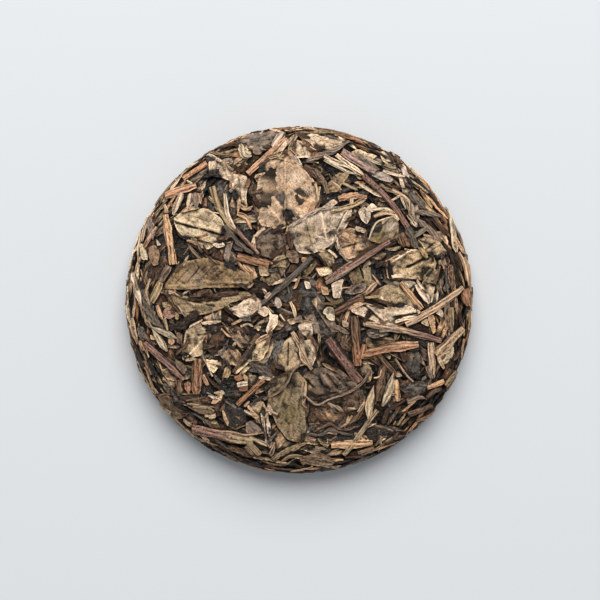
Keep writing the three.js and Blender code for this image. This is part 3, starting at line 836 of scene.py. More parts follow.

# Leaves: tone, look, how high they may lie and the outline's corners; then for each
# crease its ends, height, width and maybe tone, for each patch its middle, size,
# tone and strength
# A sunken crease's tone is darker and a raised crease's lighter: partly the leaf's own colour, partly
# painted shade and painted highlight
LEAVES = """
taupe crumpled 0.1 -36,88 -30,93 -20,95 -9,95 -7,92 -14,86 -20,84 -27,87 -31,86
  patch -24,90 5 slate 0.6
char satin -0.1 4,-77 8,-70 18,-68 36,-70 56,-73 54,-78 34,-78 20,-80 8,-80
umber puckered 0.1 -55,-24 -48,-15 -36,-13 -32,-18 -36,-25 -48,-30
bark crumpled 0.1 2,-42 10,-38 22,-38 33,-48 36,-55 30,-63 15,-60 3,-55
  crease 9,-38.5 13.5,-49 -0.8 0.5 cocoa
  crease 15,-41 22,-50 -0.8 0.5 cocoa
  crease 19,-42 29,-50 -0.7 0.5 cocoa
  crease 12,-41 18,-50 0.5 0.6 taupe
  crease 17,-40 26,-50 0.5 0.6 taupe
  crease 3,-44 9,-50 -0.5 0.5 cocoa
  crease 8,-55 22,-52 -0.6 0.5 cocoa
  patch 14,-43 6 taupe 0.8
  patch 24,-47 5 taupe 0.8
  patch 5,-47 3.5 khaki 0.7
  patch 10,-56 5 umber 0.7
  patch 27,-57 5 umber 0.6
umber puckered -0.1 3,-60 12,-58 24,-60 27,-68 18,-75 7,-73
  patch 16,-64 2.6 amber 0.9
  patch 15,-69 3 rust 0.8
  patch 19,-67 2 amber 0.7
umber ribbed 0.2 -66,-57 -62,-55 -52,-54.4 -44,-55.7 -42,-63.5 -47,-65.4 -56,-64 -63,-60
  crease -66,-57.7 -47.4,-60.9 0.7 0.5 khaki
  crease -64,-56.6 -54.5,-55.1 0.5 0.5 olive
  crease -60,-60.5 -48,-64 0.5 0.5 khaki
bark crumpled 0.25 -79,-53 -72,-54 -70,-60 -62,-64 -68,-67 -76,-61
  crease -78,-53.5 -70,-55 0.5 0.6 rust
bark ribbed 0.1 0,-90 3,-88 10,-85 17,-88 20,-92 14,-93 2,-93
slate crumpled 0.3 56,-49 61,-46 68,-45.5 74,-47 71,-50 66,-54 60,-53
slate smooth 0.2 59,-31 62,-29 66,-28 68,-30 68,-41 66,-43 60,-40
  patch 66,-37 3 coal 0.8
beige smooth 0.8 33,50 36,53 40,50 40,46 38,42.5 35,45
  crease 37,52 38,43 -0.4 0.4
tan smooth 0.5 -20,78 -5,85 2,75 10,65 12,54 0,45 -10,40 -22,42 -25,55 -23,68
  crease -8.6,80 -8.8,42 -0.45 0.35
  crease -7.2,80 -7.4,44 -0.4 0.3
  crease -8,80 -8,41 0.5 1.1
  crease -22,66 -9,50 0.4 1
  crease -20,56 -10,44 0.35 0.8
  crease -6,62 8,55 0.3 0.9
  crease -6,72 6,66 0.3 0.8
  crease -6,54 6,48 0.3 0.8
  patch -17,66 5 taupe 0.85
  patch -20,54 4.5 taupe 0.8
  patch -14,60 3 taupe 0.6
  patch -18,46 3.5 taupe 0.6
  patch -2,68 4 beige 0.7
  patch 2,61 4 beige 0.6
  patch 3,55 3.5 amber 0.7
taupe puckered 0 -27,36 -18,40 -8,38 -6,30 -12,22 -24,26
  patch -12,34 4 umber 0.6
beige smooth 0.85 -51,78 -50,71 -44,69 -37.5,66.5 -38,73 -41,77 -46,80
  crease -46,79 -47,70 -0.5 0.35
  crease -44,77 -40,68 -0.4 0.35
cream smooth 0.85 -37.5,71 -30,70 -28.5,66 -30,58 -29,52 -34,53 -36,58 -38,66
  crease -34,70 -33,55 -0.4 0.35
  patch -33,54 3 amber 0.8
cream smooth 0.45 -4,85 -1.5,90.5 5,86.5 9.5,84.5 11,82.5 6,80 -1,80 -3,82
cream smooth 0.5 0,92 5,89 9,85 17,85 22,87 28,89 22,91 14,92 8,93.5
  crease 9,91 22,87 -0.5 0.35
olive veined 0.4 -76.5,6.5 -71,15 -64,22 -52,24 -40,20 -30,15 -26,10 -28,7.5 -45,7 -52,7 -62,6 -71,6
  crease -75,7.5 -56,8.5 0.5 0.9
  crease -54,10.5 -28,9.3 0.5 0.8
  crease -52,8.7 -28,8.2 -0.6 0.4
  crease -70,9 -62,18 -0.4 0.4
  crease -64,9 -54,21 -0.4 0.4
  crease -57,10 -47,21 -0.4 0.4
  crease -50,11 -40,18 -0.4 0.4
  patch -47,14 4 umber 0.7
  patch -58,13 6 taupe 0.4
straw smooth 0.5 -71,45 -66,50 -52,52 -44,46 -40,37 -45,33 -52,28 -60,32 -68,38
  crease -71,44 -56,40 -1 0.5 umber
  crease -57,40.5 -42,36 -1 0.5 umber
  crease -70,45 -44,38.5 0.6 1.2
  crease -66,36 -48,31 -0.8 0.5 umber
  crease -62,37 -45,34 0.6 1
  crease -60,34 -51,37 -0.6 0.8 rust
  crease -64,48 -48,44 -0.35 0.4
beige smooth 0.5 -7,40 3,47 12,51 26,51 30,56 29,46 23,35 15,29 7,26 -1,27
  crease 12,51 16,31 0.4 0.5 cream
  crease 29,54 18,32 0.35 0.4 cream
  crease 27,52 20,38 -0.5 0.35
  crease 3,46 8,28 -0.5 0.4
  crease -3,40 14,35 0.35 0.8
  crease 13,46 26,47 0.3 0.8
  patch 6,38 4 moss 0.55
  patch 4,33 4.5 khaki 0.7
  patch 10,41 3 olive 0.4
tan crumpled 0.5 21,36 27,41 36,39 40,31 34,24 27,23 22,28
  patch 30,33 5 amber 0.6
  crease 23,29 36,33 -0.6 0.5
  crease 29,24 33,37 -0.5 0.5
olive smooth 0.6 39,34 43,42 53,46.5 56,44 55.5,35 50,31 44,32
  patch 45,37 4 moss 0.6
  patch 51,42 4 ash 0.6
  patch 54,35 3 khaki 0.8
  crease 44,33 48,42 0.5 0.7
hay crumpled 0.85 44.5,19.6 54.4,25.2 63.9,29 74,26.5 77,21 76,17 72,13.5 70,11 65,11.8 56,12.7
  50,11.8 49.2,14 51.8,16.1 50.1,19.5
  crease 60,18.5 67,21 -1.3 0.45 coal
  crease 66,21 74,25 -1.2 0.45 coal
  crease 50,20 63.5,28.2 0.5 0.5 cream
  crease 51,13.5 60,14.5 0.5 0.7 beige
  patch 57,21 4 khaki 0.6
  patch 68,16 4 khaki 0.5
hay smooth 0.45 41,1 44,6 50,9.2 56,11.4 65,10.5 64,5 67,-2.5 66,-6.5 52,-5 47,-1
  crease 45,2 52,-4 0.4 0.7 beige
  crease 50,8.5 60,2 0.3 0.9
  crease 56,9 64,1 -0.35 0.5
  patch 50,5 4.5 khaki 0.8
  patch 60,6 3.5 khaki 0.8
  patch 60,0 3 olive 0.7
beige smooth 0.85 28,-6 36,-1 44,-3.5 52,-4.5 60,-2.6 69,-6.5 62,-10 55,-13.5 48,-14 40,-11
  crease 35.4,-1.8 48,-13.4 -0.6 0.3 umber
  crease 37,-1.8 49.4,-13 0.45 0.5 cream
  crease 51.8,-9.8 67.4,-7.4 -0.9 0.4 char
  crease 53,-8.4 66,-6.2 0.5 0.9
  crease 54.4,-13 65.6,-9.4 -0.7 0.4 umber
beige smooth 0.5 -41,-5.5 -33,-2 -29,3 -25,2 -20.5,-2 -25,-7 -29,-11 -33,-10
  crease -38,-5 -28,-2 -0.5 0.4
hay smooth 0.6 -64,-18 -60,-13.5 -56,-12.5 -54,-17 -49,-18 -54,-24 -54.5,-31 -62,-33 -66,-31 -65,-24
  crease -64,-33 -50,-18 0.6 0.5 straw
  crease -58,-20 -51,-19 -0.6 0.4
  patch -62.5,-20.5 1.3 coal 1
  patch -58,-17 4 khaki 0.6
hay smooth 0.5 -9,-24 -4,-20 -1,-24 2,-33 4,-36 -2,-38 -5,-41 -11,-39 -14,-36
  crease -6,-23 -6.5,-38 -0.6 0.35 umber
  crease -3,-28 3,-34 -0.5 0.35
  crease -10,-30 -8,-38 0.5 0.7
  patch -8,-33 3 khaki 0.6
slate satin 0.3 -17,-21 -10,-20 -8,-24 -14,-36 -16,-44 -21,-43 -24,-38 -20,-30
hay crumpled 0.9 -17,-19 -17,-27 -21,-34 -27,-34 -32,-39 -36,-42 -35,-39 -30,-33 -25,-27 -22,-23
  crease -18,-24 -26,-33 -0.5 0.4
char satin 0.35 -43,-56 -38,-56 -33,-60 -30,-64 -30,-69 -36,-72 -41,-69 -43,-62
  crease -42,-57 -33,-62 0.5 0.6 slate
tan flat 0.7 -28.6,-59.6 -20.8,-56.4 -17.6,-63.5 -17.6,-70 -15,-79.7 -16.3,-83.5 -18.9,-80.3
  -20.8,-71.3 -25.4,-64.8
  crease -21,-58 -17,-82 -0.5 0.4 rust
beige smooth 0.75 -1,-14 7,-12 8,-20 5,-22 1,-19
  crease 2,-17 7,-18 -0.5 0.4
olive puckered 0.5 -15,-45 -10,-42 0,-40 2,-48 3,-60 4,-75 -1,-80 -7,-78 -13,-70 -17,-60 -18,-53
  crease -6,-44 -13,-66 0.4 0.6
  patch -6,-64 6 moss 0.55
  patch -4,-72 4 olive 0.6
straw smooth 0.8 -52.5,-33 -46,-34 -41.5,-35 -43,-38 -46,-38.5 -48,-41.5 -51.5,-38
  crease -52,-36 -44,-37 -0.4 0.35
tan crumpled 0.8 -46,-29 -41,-26 -37,-26 -34,-29 -32.5,-31 -35,-37 -40,-36 -44,-32
hay smooth 0.6 66.5,34 72,36 76,36 80,31 84,26 77,25 71,27 69,31
  crease 67,34 77,30 -0.6 0.35
  crease 70,27 77,33 -0.6 0.35
  crease 74,28 80,31 -0.5 0.35
beige smooth 0.5 57,69 62,67 66,58 68,48 66,41 63,42 61,52 58,60
  crease 63,64 66,45 -0.5 0.4
ash smooth 0.5 51,85 55,84 59,76 62,68 60,67 57,74
ash smooth 0.5 40,70.5 43,72 48,72.5 53,68 51,66 45,68
cream smooth 0.5 29,83 33,85 38,83 44,81 41,79 35,79
cream ribbed 0.5 44,83 48,83 54,76 53,74 48,77
taupe ribbed 0.3 46,76 55,74 56,71 50,72
char satin 0.1 -84,24 -80,25 -79,22 -81,20 -84,21
sage flat 0.6 -90,32 -87,31 -85,23 -88,22
olive puckered 0.6 -20,17 -12,17 -10,11 -16,8 -21,11
bark crumpled 0.2 -15,37 -6,38 -5,29 -12,27
  patch -10,33 3 taupe 0.8
khaki ribbed 0.6 10,26 18,29 20,22 20,15 15,19
tan flat 0.7 9,18 16,19 19,15 12,13
beige smooth 0.7 18,9 21,10.5 25,12 24,6 23,1 19,1
sage flat 1 13.5,-5 17,-3.5 20,-5 20,-12 16,-11
beige ribbed 0.5 77,38 81,39 84,33 83,31
beige ribbed 0.4 78,-32 84,-27 88,-31 82,-38
olive ribbed 0.2 38,-21 52,-21 55,-25 44,-27 37,-26
slate satin 0.6 37.5,-17 43,-15.5 50,-17 49,-20 43,-21.5 39,-20.5
  crease 38.5,-18 48,-20.5 0.5 0.4 taupe
char satin 0.25 38,-71 46,-70 57,-73 55,-77 44,-79 38,-77
  crease 42,-70.5 56,-74 0.6 0.5 bark
rust flat 0.4 40,-30 46,-32 49,-35 46,-39
khaki smooth 0.7 -43,-44 -42,-38 -38.5,-37 -38.5,-41 -40,-44
plum flat 0.7 -76,-5 -71,-4 -69,-8 -73,-11 -77,-9
khaki smooth 0.3 -76,5 -70,4 -63,2 -57,0 -50,1.5 -44,3.5 -38,4 -30,5 -27,3 -30,1 -38,-1 -44,-5
  -55,-8.5
  -64,-8 -70,-3
  crease -68,1 -46,-4 -0.6 0.5
  crease -62,-3 -42,-1 0.5 0.7
  patch -66,-1 4 olive 0.7
  patch -50,-4 5 olive 0.5
umber satin 0.45 -62,2 -55,6 -50,6.5 -48.5,3 -54,1.5
hay crumpled 0.9 69.5,10.5 74,16.5 77.5,14 76.5,8 75,-1 72,-1.5 68.5,8
olive flat 0.3 -77,-1 -74,-1 -71,-2 -73,-6 -77,-4
khaki flat 0.6 -70,-7 -67.5,-8 -68,-11 -70,-11
amber flat 0.6 -74,-21 -71,-21 -70,-24 -72,-25.5 -74,-24
tan flat 0.5 -84,-20 -82,-20 -81.5,-22 -83.5,-22.5
slate satin 0.2 -91,-15 -88,-15 -86,-21 -88,-23 -90.5,-20
bark flat 0.4 -70,-33 -65,-36 -63,-39 -65,-42 -69,-38
bark flat 0.3 -69,-18 -66,-19 -66,-25 -69,-24
coal satin 0.3 -55,-14 -46,-13 -42,-17 -48,-19
dun crumpled 0.6 -84.5,30 -81,31 -78.5,27 -79,20 -82,19 -84.5,23
hay crumpled 0.8 -23,19 -17,18 -17,13.5 -22,13.5
taupe satin 0.2 -86,33 -84,42 -82,46 -81,42 -84,34
ash flat 0.6 -80.5,34.5 -77.5,31 -80,30
cream flat 0.8 -49,31.5 -43.5,33 -41.5,30.5 -46,29
taupe flat 0.6 -26.5,84 -25,86 -22,86 -20.5,84 -22,82 -25,82
cream smooth 0.9 -18,79 -11,80.5 -8,86 -1,91.5 -3,92.5 -8,89 -13,83.5
slate satin 0.7 -12,59 -9,61 -8.5,57 -10,54 -12.5,57
coal satin 0.7 -8.5,51 -5,51 -1.5,46 -6,42 -8,44
cocoa satin 0.3 -38,77 -31,77 -29.5,71 -33,70 -37,72
bark satin 0.3 -29,60 -27,65 -24,65 -22,61 -25,59
ash flat 0.4 -44,79 -38,80 -37,77 -41,75.5
beige flat 0.5 11,51 19,57 22,55 18,52
bark flat 0.5 20,58 28,60 33,57 27,55.5
khaki crumpled 0.8 69,12 74,18 78,17 77,10 73,9
straw flat 0.6 64,39 68,38.5 66.5,36.5
cream smooth 0.5 57,11 66,10 64,5 62,4
amber ribbed 0.5 72,-9 76,-8 77,-18 75,-19
hay flat 0.7 68,-12.5 72,-10 73,-15 70,-14
ash flat 0.7 77,-7 80,-5 81.5,-8 80,-10
sage flat 0.6 83,-28 87,-26 86,-33 82,-31
bark ribbed 0.4 82,-50 84,-38 87,-40 89,-41 88,-45 84,-51
dun flat 0.5 53,-42 56,-40 58,-43 55,-43.5
dun crumpled 0.5 1,-81 4,-76 10,-78 8,-81
khaki ribbed 0.4 -29,-60 -22,-58 -20,-70 -24,-69
taupe flat 0.5 -30,-69 -27,-68 -20.5,-73 -21,-74.5 -30,-75
rust flat 0.7 -37,-43 -33,-42 -31,-44 -35,-46
rust flat 0.6 -34,-50 -29,-48.5 -29,-51 -33,-51.5
khaki flat 0.7 -31.5,-41.5 -29,-43 -29,-46.5 -31,-45
khaki flat 0.4 -48,-52 -43,-50.5 -42,-53 -46,-53.5
beige flat 0.6 -24,-6.5 -20,-3.5 -17,-5.5 -18,-9 -20,-9.5
cream smooth 0.65 -20,-3 -17,-5 -15,-9 -12,-8 -12,-13 -15,-17 -17,-20 -19,-17 -17,-12 -17,-8
tan flat 0.7 -26,-6 -20.5,-2 -22,-0.5 -27,-4
cream smooth 1 0,-23 7,-22 11,-26 9.5,-32 7,-38 3,-35 0,-31
ash flat 0.8 -13.5,1.5 -11,1 -9.5,-3 -12,-5 -14,-2
hay flat 0.7 -7,-11 -3,-10 -2,-13 -5,-14
taupe flat 0.5 -3,-10 1,-8.5 2,-12 -2,-13
cream flat 0.8 2.5,11 6,10 6.5,6.5 4,6
beige flat 0.7 -5,12.5 -1,12 -1.5,10.5 -5,10.5
amber flat 0.6 1,24 5,24 5,21 1.5,21.5
amber flat 0.5 12,8 16,7 17,3 13,3
straw flat 0.7 10,17.5 18.5,17.5 19,14.5 11,14
tan flat 0.7 24,-11 28,-13 27,-15.5 24.5,-15
beige flat 0.6 -25,-14.5 -21,-14.5 -23,-18
dun crumpled 0.45 -41,-15 -33,-15 -30,-20 -28,-26 -33,-27 -37,-22
umber flat 0.4 45,-42 43,-46 47,-47 47,-43
beige flat 0.6 37,51 41,55 44,52 41,49
taupe satin 0.3 25,4 30,9 38,10 37,5 31,3
bark flat 0.5 -9,28 -1,28 0,21 -5,21
"""

# Stems, rolled leaves and buds: tone, form, width, the points they pass, and maybe
# the tone of their end
STEMS = """
slate rolled 5 -87.5,6 -85.5,-3 -82,-11 -77,-16
olive rolled 2 -90,5 -88.5,-5 -85,-13 -80,-18
umber twig 2.6 -23,-19 -29,-29 -37,-41
wine split 4 20,-7 36,1
slate split 3 -21,-2 -5,12 7,24
rust twig 4.4 -35,24 -17,20
salmon twig 3.2 -65,68 -52,77
salmon split 4.4 -75,58.5 -58,64.5
amber split 4.2 -75,48 -73,34 -71,20
khaki split 4 -78,10 -83,-1.5
salmon twig 3.4 -29,71 -7.5,91
taupe rolled 2.8 4,78 14,82.5 20,84.5 28,89
mauve twig 4.6 24,83.5 43,72
cream blade 2.4 14,81 21,77.5 28,75.5 36,70
cream blade 2.2 21,82 27,77 33,73 37,69.5
cream blade 2.3 34,65 41,61 50,57
plum twig 3.2 36,70 45,62 53,53 61,41
plum split 4 15,11 33,22 51,33
khaki blade 3.6 -49,64 -46,54 -40,44 -35,38
cream blade 2.2 -42,60 -40,48 -35,38.5
plum twig 2 -36,40 -23,26
plum split 3.2 -87,-24 -65,-45
rust split 5.4 -57,-33 -58,-53
rust twig 2.7 -35,-59 -20,-45
plum split 5 -60,-72.5 -46,-75.5 -36,-78.5 -26,-79 khaki
dun blade 1.7 -47,-74 -38,-74.5 -30,-76 -20,-74.5
dun rolled 2.2 -14,-80 -16,-88
olive rolled 2.6 -15,-89.5 -9,-86 0,-82 4,-80.5
claret twig 5.5 16,-22 34,-46
umber split 4.5 31,-9 33,-37 rust
rust split 3 37,-25 35,-33
rust split 5 36,-31 52,-27 67,-25 salmon
tan split 3.4 36,-13 58,-17 80,-23 plum
amber split 3 57,10 69,-5
beige blade 4 66,9 73,-2
tan split 3.8 92,7 76,-5 60,-14
cream blade 2 54,-12.5 60,-10.5 66,-9.5
tan split 5 77,-31 92,-16
tan split 3.6 74,-24 75,-42
amber split 4.2 18,-82 41,-80
khaki twig 2.8 25,-87 31,-80 38,-70 44,-62
umber twig 2.6 62,-65 74,-59
straw blade 4 83,52 86,40 89,27
ash rolled 2.2 -6,41 4,47 12,51 24,52
khaki blade 2.6 18,50 30,53 38,58
salmon rolled 3.2 22,57 30,58.5 38,58
ash blade 3.6 -15,86 -9,94
hay rolled 5 -33,87 -30,82 -27,82
beige blade 3.4 -61,60 -62.5,51
beige blade 3.8 -66,60 -71,48
taupe rolled 3.4 -58.5,60.5 -58,52
slate rolled 2.3 -42,42 -34,32 -26,26
amber blade 2.6 -35,48.5 -30,46 -27,40
cream blade 2 -55,-13 -49,-12.5 -44,-12
char rolled 4.6 -73,-15.5 -66,-14 -60,-9 -57,-7
slate rolled 4.4 -28,-35 -15,-43
beige split 3.2 -35,-48 -29,-47
umber rolled 3.4 -68,-45 -67,-53
rust rolled 3 -63,-46 -62,-53
straw split 2.2 -51,-66 -47,-65
tan split 2.2 -51,-66 -47,-65
salmon split 2.2 -54,-42 -51.5,-48
amber blade 4 54,-45 55.5,-57
slate rolled 3 62,60 72,50
taupe rolled 2.8 66,50 80,47
taupe rolled 3 67,45 75,38 80,33
cocoa split 2.6 75,46 82,37
taupe split 2.6 64,35 71,40
rust split 5 93,6 95,-3
tan blade 4 92,24 95,10
beige blade 3.8 -95,15 -91,5 -89,-2
tan blade 3.5 -94,-10 -93,-18 -91.5,-25
tan blade 2.6 -86,45 -88.5,33
salmon twig 2.2 -80,41 -87,30
taupe rolled 3.6 -84,46 -82,34
olive split 4 82,-48 88,-40
amber split 2.4 72,-49.5 81,-45.5
umber split 2.6 61,-64 70,-61
rust split 2.6 66,-68 76,-62
umber split 2.6 72,-55 76,-51 80,-50
umber rolled 3.2 3,76 8,72 12,66
tan blade 2.6 52,62 60,57 62,50
bark rolled 2.6 9,74 14,66 16,60
cocoa rolled 3 42,31 36,26 30,22
taupe blade 3.4 45,-17 52,-16 58,-18
taupe blade 2.4 20,-15 28,-19
umber split 2.8 44,-30 54,-42
umber blade 4.8 48,-37 46,-45 44.5,-57
umber blade 2.6 36,-54 34,-64 28,-70
silver bud 4.6 47,-60 51,-50 53,-40
hay bud 4.6 39,-67 39.5,-59 42,-48
silver bud 3.4 -69,-21.5 -84,-15
silver bud 3.6 -74.5,-29 -83,-16
bark split 3.6 -73,19 -78,10
tan blade 1.5 -84,12 -86,4 -84,-3
tan blade 2.2 -80,-3 -77,-11
khaki blade 1.8 -76,-10 -74,-17
amber blade 2.2 -90,-23 -87.5,-28.5
tan blade 1.6 -64,-34 -58,-33
umber split 2 -87,-34 -83,-42
olive split 2 -92,12 -90,3
cream split 1.1 -63,67 -60,65.3
tan blade 1.9 -56.5,60 -55.5,54
olive blade 2 -51,58.5 -47.5,54.5
beige blade 2 -72,62 -66,70
cream blade 2 -63,74 -57,78
tan blade 2 -76,54 -74,49
rust blade 1.6 -73,55 -71,52
olive rolled 2 -50,83 -43,82 -36,85
cocoa rolled 2.4 -47,85 -33,88
beige blade 1.6 -51,82 -43,77
amber rolled 2 -34,54 -30,51 -26,53
sage blade 1.8 14,79 22,75 28,72 34,70.5
slate rolled 2.6 32,82 45,73
silver blade 1.6 36,80 46,76
beige blade 1.7 47,72.5 53,70.5 59,69
olive rolled 1.8 45,65 54,60
beige blade 1.1 52,56 57,59
beige blade 1.1 57,58 60,51
tan blade 1.8 18,67 24,62
khaki blade 1.6 24,66 33,62
hay rolled 1.4 9,66 11,58
straw blade 2 41,51 50,51 56,45
tan blade 2.6 42,47 49,49 54,48
sage blade 1.3 39,34 43,43 48,45.5 53,47
rust rolled 2.6 58,38 62,30
umber rolled 3 55,37 59,30
slate rolled 4 61,41 63,36 66,29
hay rolled 2 63,45 66,41
dun blade 2 61,48 64,44
umber rolled 3 85,20 86,6
bark rolled 2.2 80,12 79,5
amber blade 2.4 88,34 93,26
tan blade 2.6 90,27 93,18 95,8
taupe split 2.2 15,9.5 28,17 40,25.5
bark blade 3 83,-1 84,-15
dun blade 1.8 88,1 89,-8
olive blade 2.2 86,-4 86,-18
taupe split 3.4 73,-37 75,-44
dun twig 1.2 54,-33 60,-42 64,-46
rust blade 1.6 52,-53 54.5,-53
tan twig 1.1 46,-39 45,-43 42,-44
tan blade 1.6 93,-22 91,-33
taupe blade 1.8 61,-58 68,-55 72,-56
taupe twig 1.4 3,-54 10,-59 17,-56 28,-52 36,-46 40,-40
dun rolled 1.6 16,-58 22,-61 25,-63
tan blade 1.1 27,-61 32,-61
tan blade 1.7 33,-63 37,-57
slate rolled 1.7 4,-75 12,-76 17,-73 24,-75 30,-76
umber rolled 1.6 8,-74 14,-71 18,-70 24,-73 34,-71
bark split 1.8 33,-86 42,-83
umber split 2.2 26,-89 36,-88
olive blade 1.5 12,-80 16,-83
olive blade 1.5 9,-83 15,-84
cocoa rolled 2.4 50,-61 47,-70
umber rolled 1.8 57,-60 50,-70
bark blade 1.6 46,-78 43,-82
bark blade 1.6 52,-77 48,-80
khaki blade 2.4 -28,-77 -24,-79 -18,-82
olive split 2.6 -30,-79 -22,-87
olive blade 2.2 -30,-82 -26,-87
tan blade 2 -31,-60 -28,-57
cream blade 1.4 -31,-62 -27,-64.5
olive blade 3 -60,-60 -52,-61 -48,-63
olive blade 2 -10,-91 -5,-88 2,-88
bark blade 1.6 -22,-91 -14,-93 -8,-93 -3,-90
bark twig 1.3 -20,-56 -12,-52 -7,-47 -4,-41 0,-37
tan split 2.6 -4,-18 0,-25 4,-34 7,-39
umber blade 2.2 0,-17 2.5,-24
straw blade 1.8 -5,-1 -3,-6 -2,-11
straw blade 1.4 -11,-8 -8,-12
umber blade 1.6 2,13 8,12
hay blade 1.6 9.5,1 9.5,-4
beige blade 1.1 -33,-15 -29,-13.5 -26,-15
amber blade 1.5 -38,-14 -32,-11
salmon blade 1.2 -44,-16 -40,-20 -37,-21
cocoa rolled 2.6 -31,-15 -28,-19
tan split 2 -19,1 -16,4
"""


def read_word(word):
    """A point, a number or a name."""
    if "," in word:
        return tuple(float(number) for number in word.split(","))
    return word if word.isalpha() else float(word)


def read_rows(table):
    """The words, numbers and points of each row."""
    rows = table.strip().replace("\n  ", " ").splitlines()
    return [[read_word(word) for word in row.split()] for row in rows]


def shown_leaves():
    """Each shown leaf: tone, look, level, outline, creases and patches."""
    for tone, look, level, *rest in read_rows(LEAVES):
        marks = [i for i, item in enumerate(rest) if item in ("crease", "patch")] + [len(rest)]
        extra = {"crease": [], "patch": []}
        for start, end in zip(marks, marks[1:]):
            extra[rest[start]].append(rest[start + 1:end])
        yield tone, look, level, rest[:marks[0]], extra["crease"], extra["patch"]


def kind_of_tone(tones_of_kind):
    """The kind that each tone belongs to."""
    return {tone: kind for kind, tones in tones_of_kind.items() for tone in tones.split()}


KIND_OF_TONE = kind_of_tone({
    "pale_leaves": "cream straw beige sage hay silver ash",
    "tan_leaves": "tan amber khaki salmon",
    "olive_leaves": "olive moss taupe rust plum mauve dun",
    "brown_leaves": "bark umber cocoa wine",
    "dark_leaves": "slate char coal",
})
KIND_OF_ROD = kind_of_tone({
    "red_stems": "plum wine rust umber mauve bark claret",
    "rolled_leaves": "cocoa slate char coal taupe",
})

# Which tones a rule draws from, and how often
DARK_MIX = {"char": 5, "coal": 4, "slate": 2, "umber": 2, "cocoa": 3}
MIDDLE_MIX = {"umber": 5, "cocoa": 3, "char": 2, "khaki": 5, "tan": 7, "beige": 4, "amber": 2,
              "olive": 3, "taupe": 3, "rust": 1}
EDGE_MIX = {"char": 4, "coal": 3, "umber": 5, "cocoa": 4, "slate": 2, "tan": 4, "khaki": 2,
            "beige": 2, "rust": 1}
BITS_MIX = {"tan": 6, "amber": 3, "beige": 3, "khaki": 3, "straw": 1, "umber": 6, "cocoa": 5,
            "char": 5, "coal": 3, "slate": 2, "rust": 2, "taupe": 2, "olive": 1}
# The rim's tones: the first mix for the side towards the light, the second, darker one drawn more
# often on the side turned from it, as painted shade
RIM_LIGHT = {"tan": 6, "amber": 4, "beige": 5, "straw": 4, "khaki": 4, "umber": 4, "cocoa": 2,
             "char": 2, "olive": 2, "taupe": 2, "rust": 2}
RIM_SHADED_SIDE = {"umber": 6, "cocoa": 6, "char": 7, "coal": 6, "slate": 3, "tan": 3, "amber": 2,
            "khaki": 2, "rust": 2, "olive": 2}
LOWER_MIX = {"umber": 4, "cocoa": 3, "taupe": 3, "khaki": 3, "char": 2, "olive": 2}
UNDER_MIX = {"tan": 5, "beige": 4, "khaki": 4, "straw": 2, "olive": 4, "taupe": 3, "umber": 4,
             "char": 4, "slate": 2, "amber": 2, "sage": 2}

# Which forms, looks and shapes a rule draws, and how often
ROD_FORMS = {"twig": 0.2, "split": 0.35, "rolled": 0.2, "blade": 0.25}
LEAF_LOOKS = {"flat": 0.3, "ribbed": 0.25, "crumpled": 0.25, "puckered": 0.2}
LEAF_SHAPES = {"torn": 0.8, "leaf": 0.1, "blade": 0.1}

GOLDEN_ANGLE = math.pi * (3 - math.sqrt(5))
DEEP_SHARE = 0.2  # how far a dark leaf counts as taken, against 1 for a shown leaf
WIDEST_ROD = 4.2


def draw(mix, rng):
    """One name of a mix."""
    names = list(mix)
    weights = np.array([mix[n] for n in names], float)
    return names[rng.choice(len(names), p=weights / weights.sum())]


def inside(outline, x, y):
    """Whether points lie inside a closed outline."""
    hit = np.zeros(x.shape, bool)
    for (x0, y0), (x1, y1) in zip(outline, np.roll(outline, -1, axis=0)):
        crosses = (y0 > y) != (y1 > y)
        at = (x1 - x0) * (y - y0) / ((y1 - y0) if y1 != y0 else 1e-9) + x0
        hit ^= crosses & (x < at)
    return hit


def taken_places():
    """How far each cell of the top's map is taken by the leaves that are shown."""
    line = (np.arange(GRID) * CELL) - HALF
    x, y = np.meshgrid(line, line)
    mask = np.zeros(x.shape)
    for _, _, at, length, width, heading in read_rows(DEEP_LEAVES):
        local = np.stack([x, y], -1) - on_map(at)
        along, across = np.moveaxis(at_heading(local, (0, 0), -heading), -1, 0)
        mask[(2 * along / length) ** 2 + (2 * across / width) ** 2 < 0.8] = DEEP_SHARE
    for _, _, _, outline, _, _ in shown_leaves():
        points = rounded(on_map(outline))
        low, high = points.min(0), points.max(0)
        part = (x > low[0]) & (x < high[0]) & (y > low[1]) & (y < high[1])
        mask[part] = np.maximum(mask[part], inside(points, x[part], y[part]))
    return np.where(blur(mask, 2.5) > 0.8, 1.0, np.minimum(mask, DEEP_SHARE))


def spread_piece(heap, face, rng, x, y, heading, length, width, mix, cap, seed, rods, cell):
    """One leaf, shred, twig or rolled leaf of a rule's draw."""
    tone = draw(mix, rng)
    if rng.random() < rods:
        form = draw(ROD_FORMS, rng)
        turn = math.radians(heading)
        reach = 0.5 * length * np.array([math.cos(turn), math.sin(turn)])
        bend = np.array([-math.sin(turn), math.cos(turn)]) * rng.normal(0, 0.05 * length)
        away = math.hypot(x, y)
        inward = -np.array([x, y]) / max(away, 1) * length**2 / (8 * max(away, 40))
        middle = np.array([x, y])
        points = [middle - reach + inward, middle + bend, middle + reach + inward]
        lay_rod(heap, face, KIND_OF_ROD.get(tone, "tan_stems"), tone, form, points,
                min(width, WIDEST_ROD) * rng.uniform(0.6, 1), cap=cap + 0.3, step=2.2, sides=8,
                seed=seed)
        return
    look = draw(LEAF_LOOKS, rng)
    if KIND_OF_TONE[tone] == "dark_leaves":
        look = "satin"
    shape = draw(LEAF_SHAPES, rng)
    lay_leaf(heap, face, KIND_OF_TONE[tone], tone, look, cap, cell, seed, at=(x, y),
             heading=heading, length=length, width=width, shape=shape,
             bow=rng.normal(0, 0.06 * length))


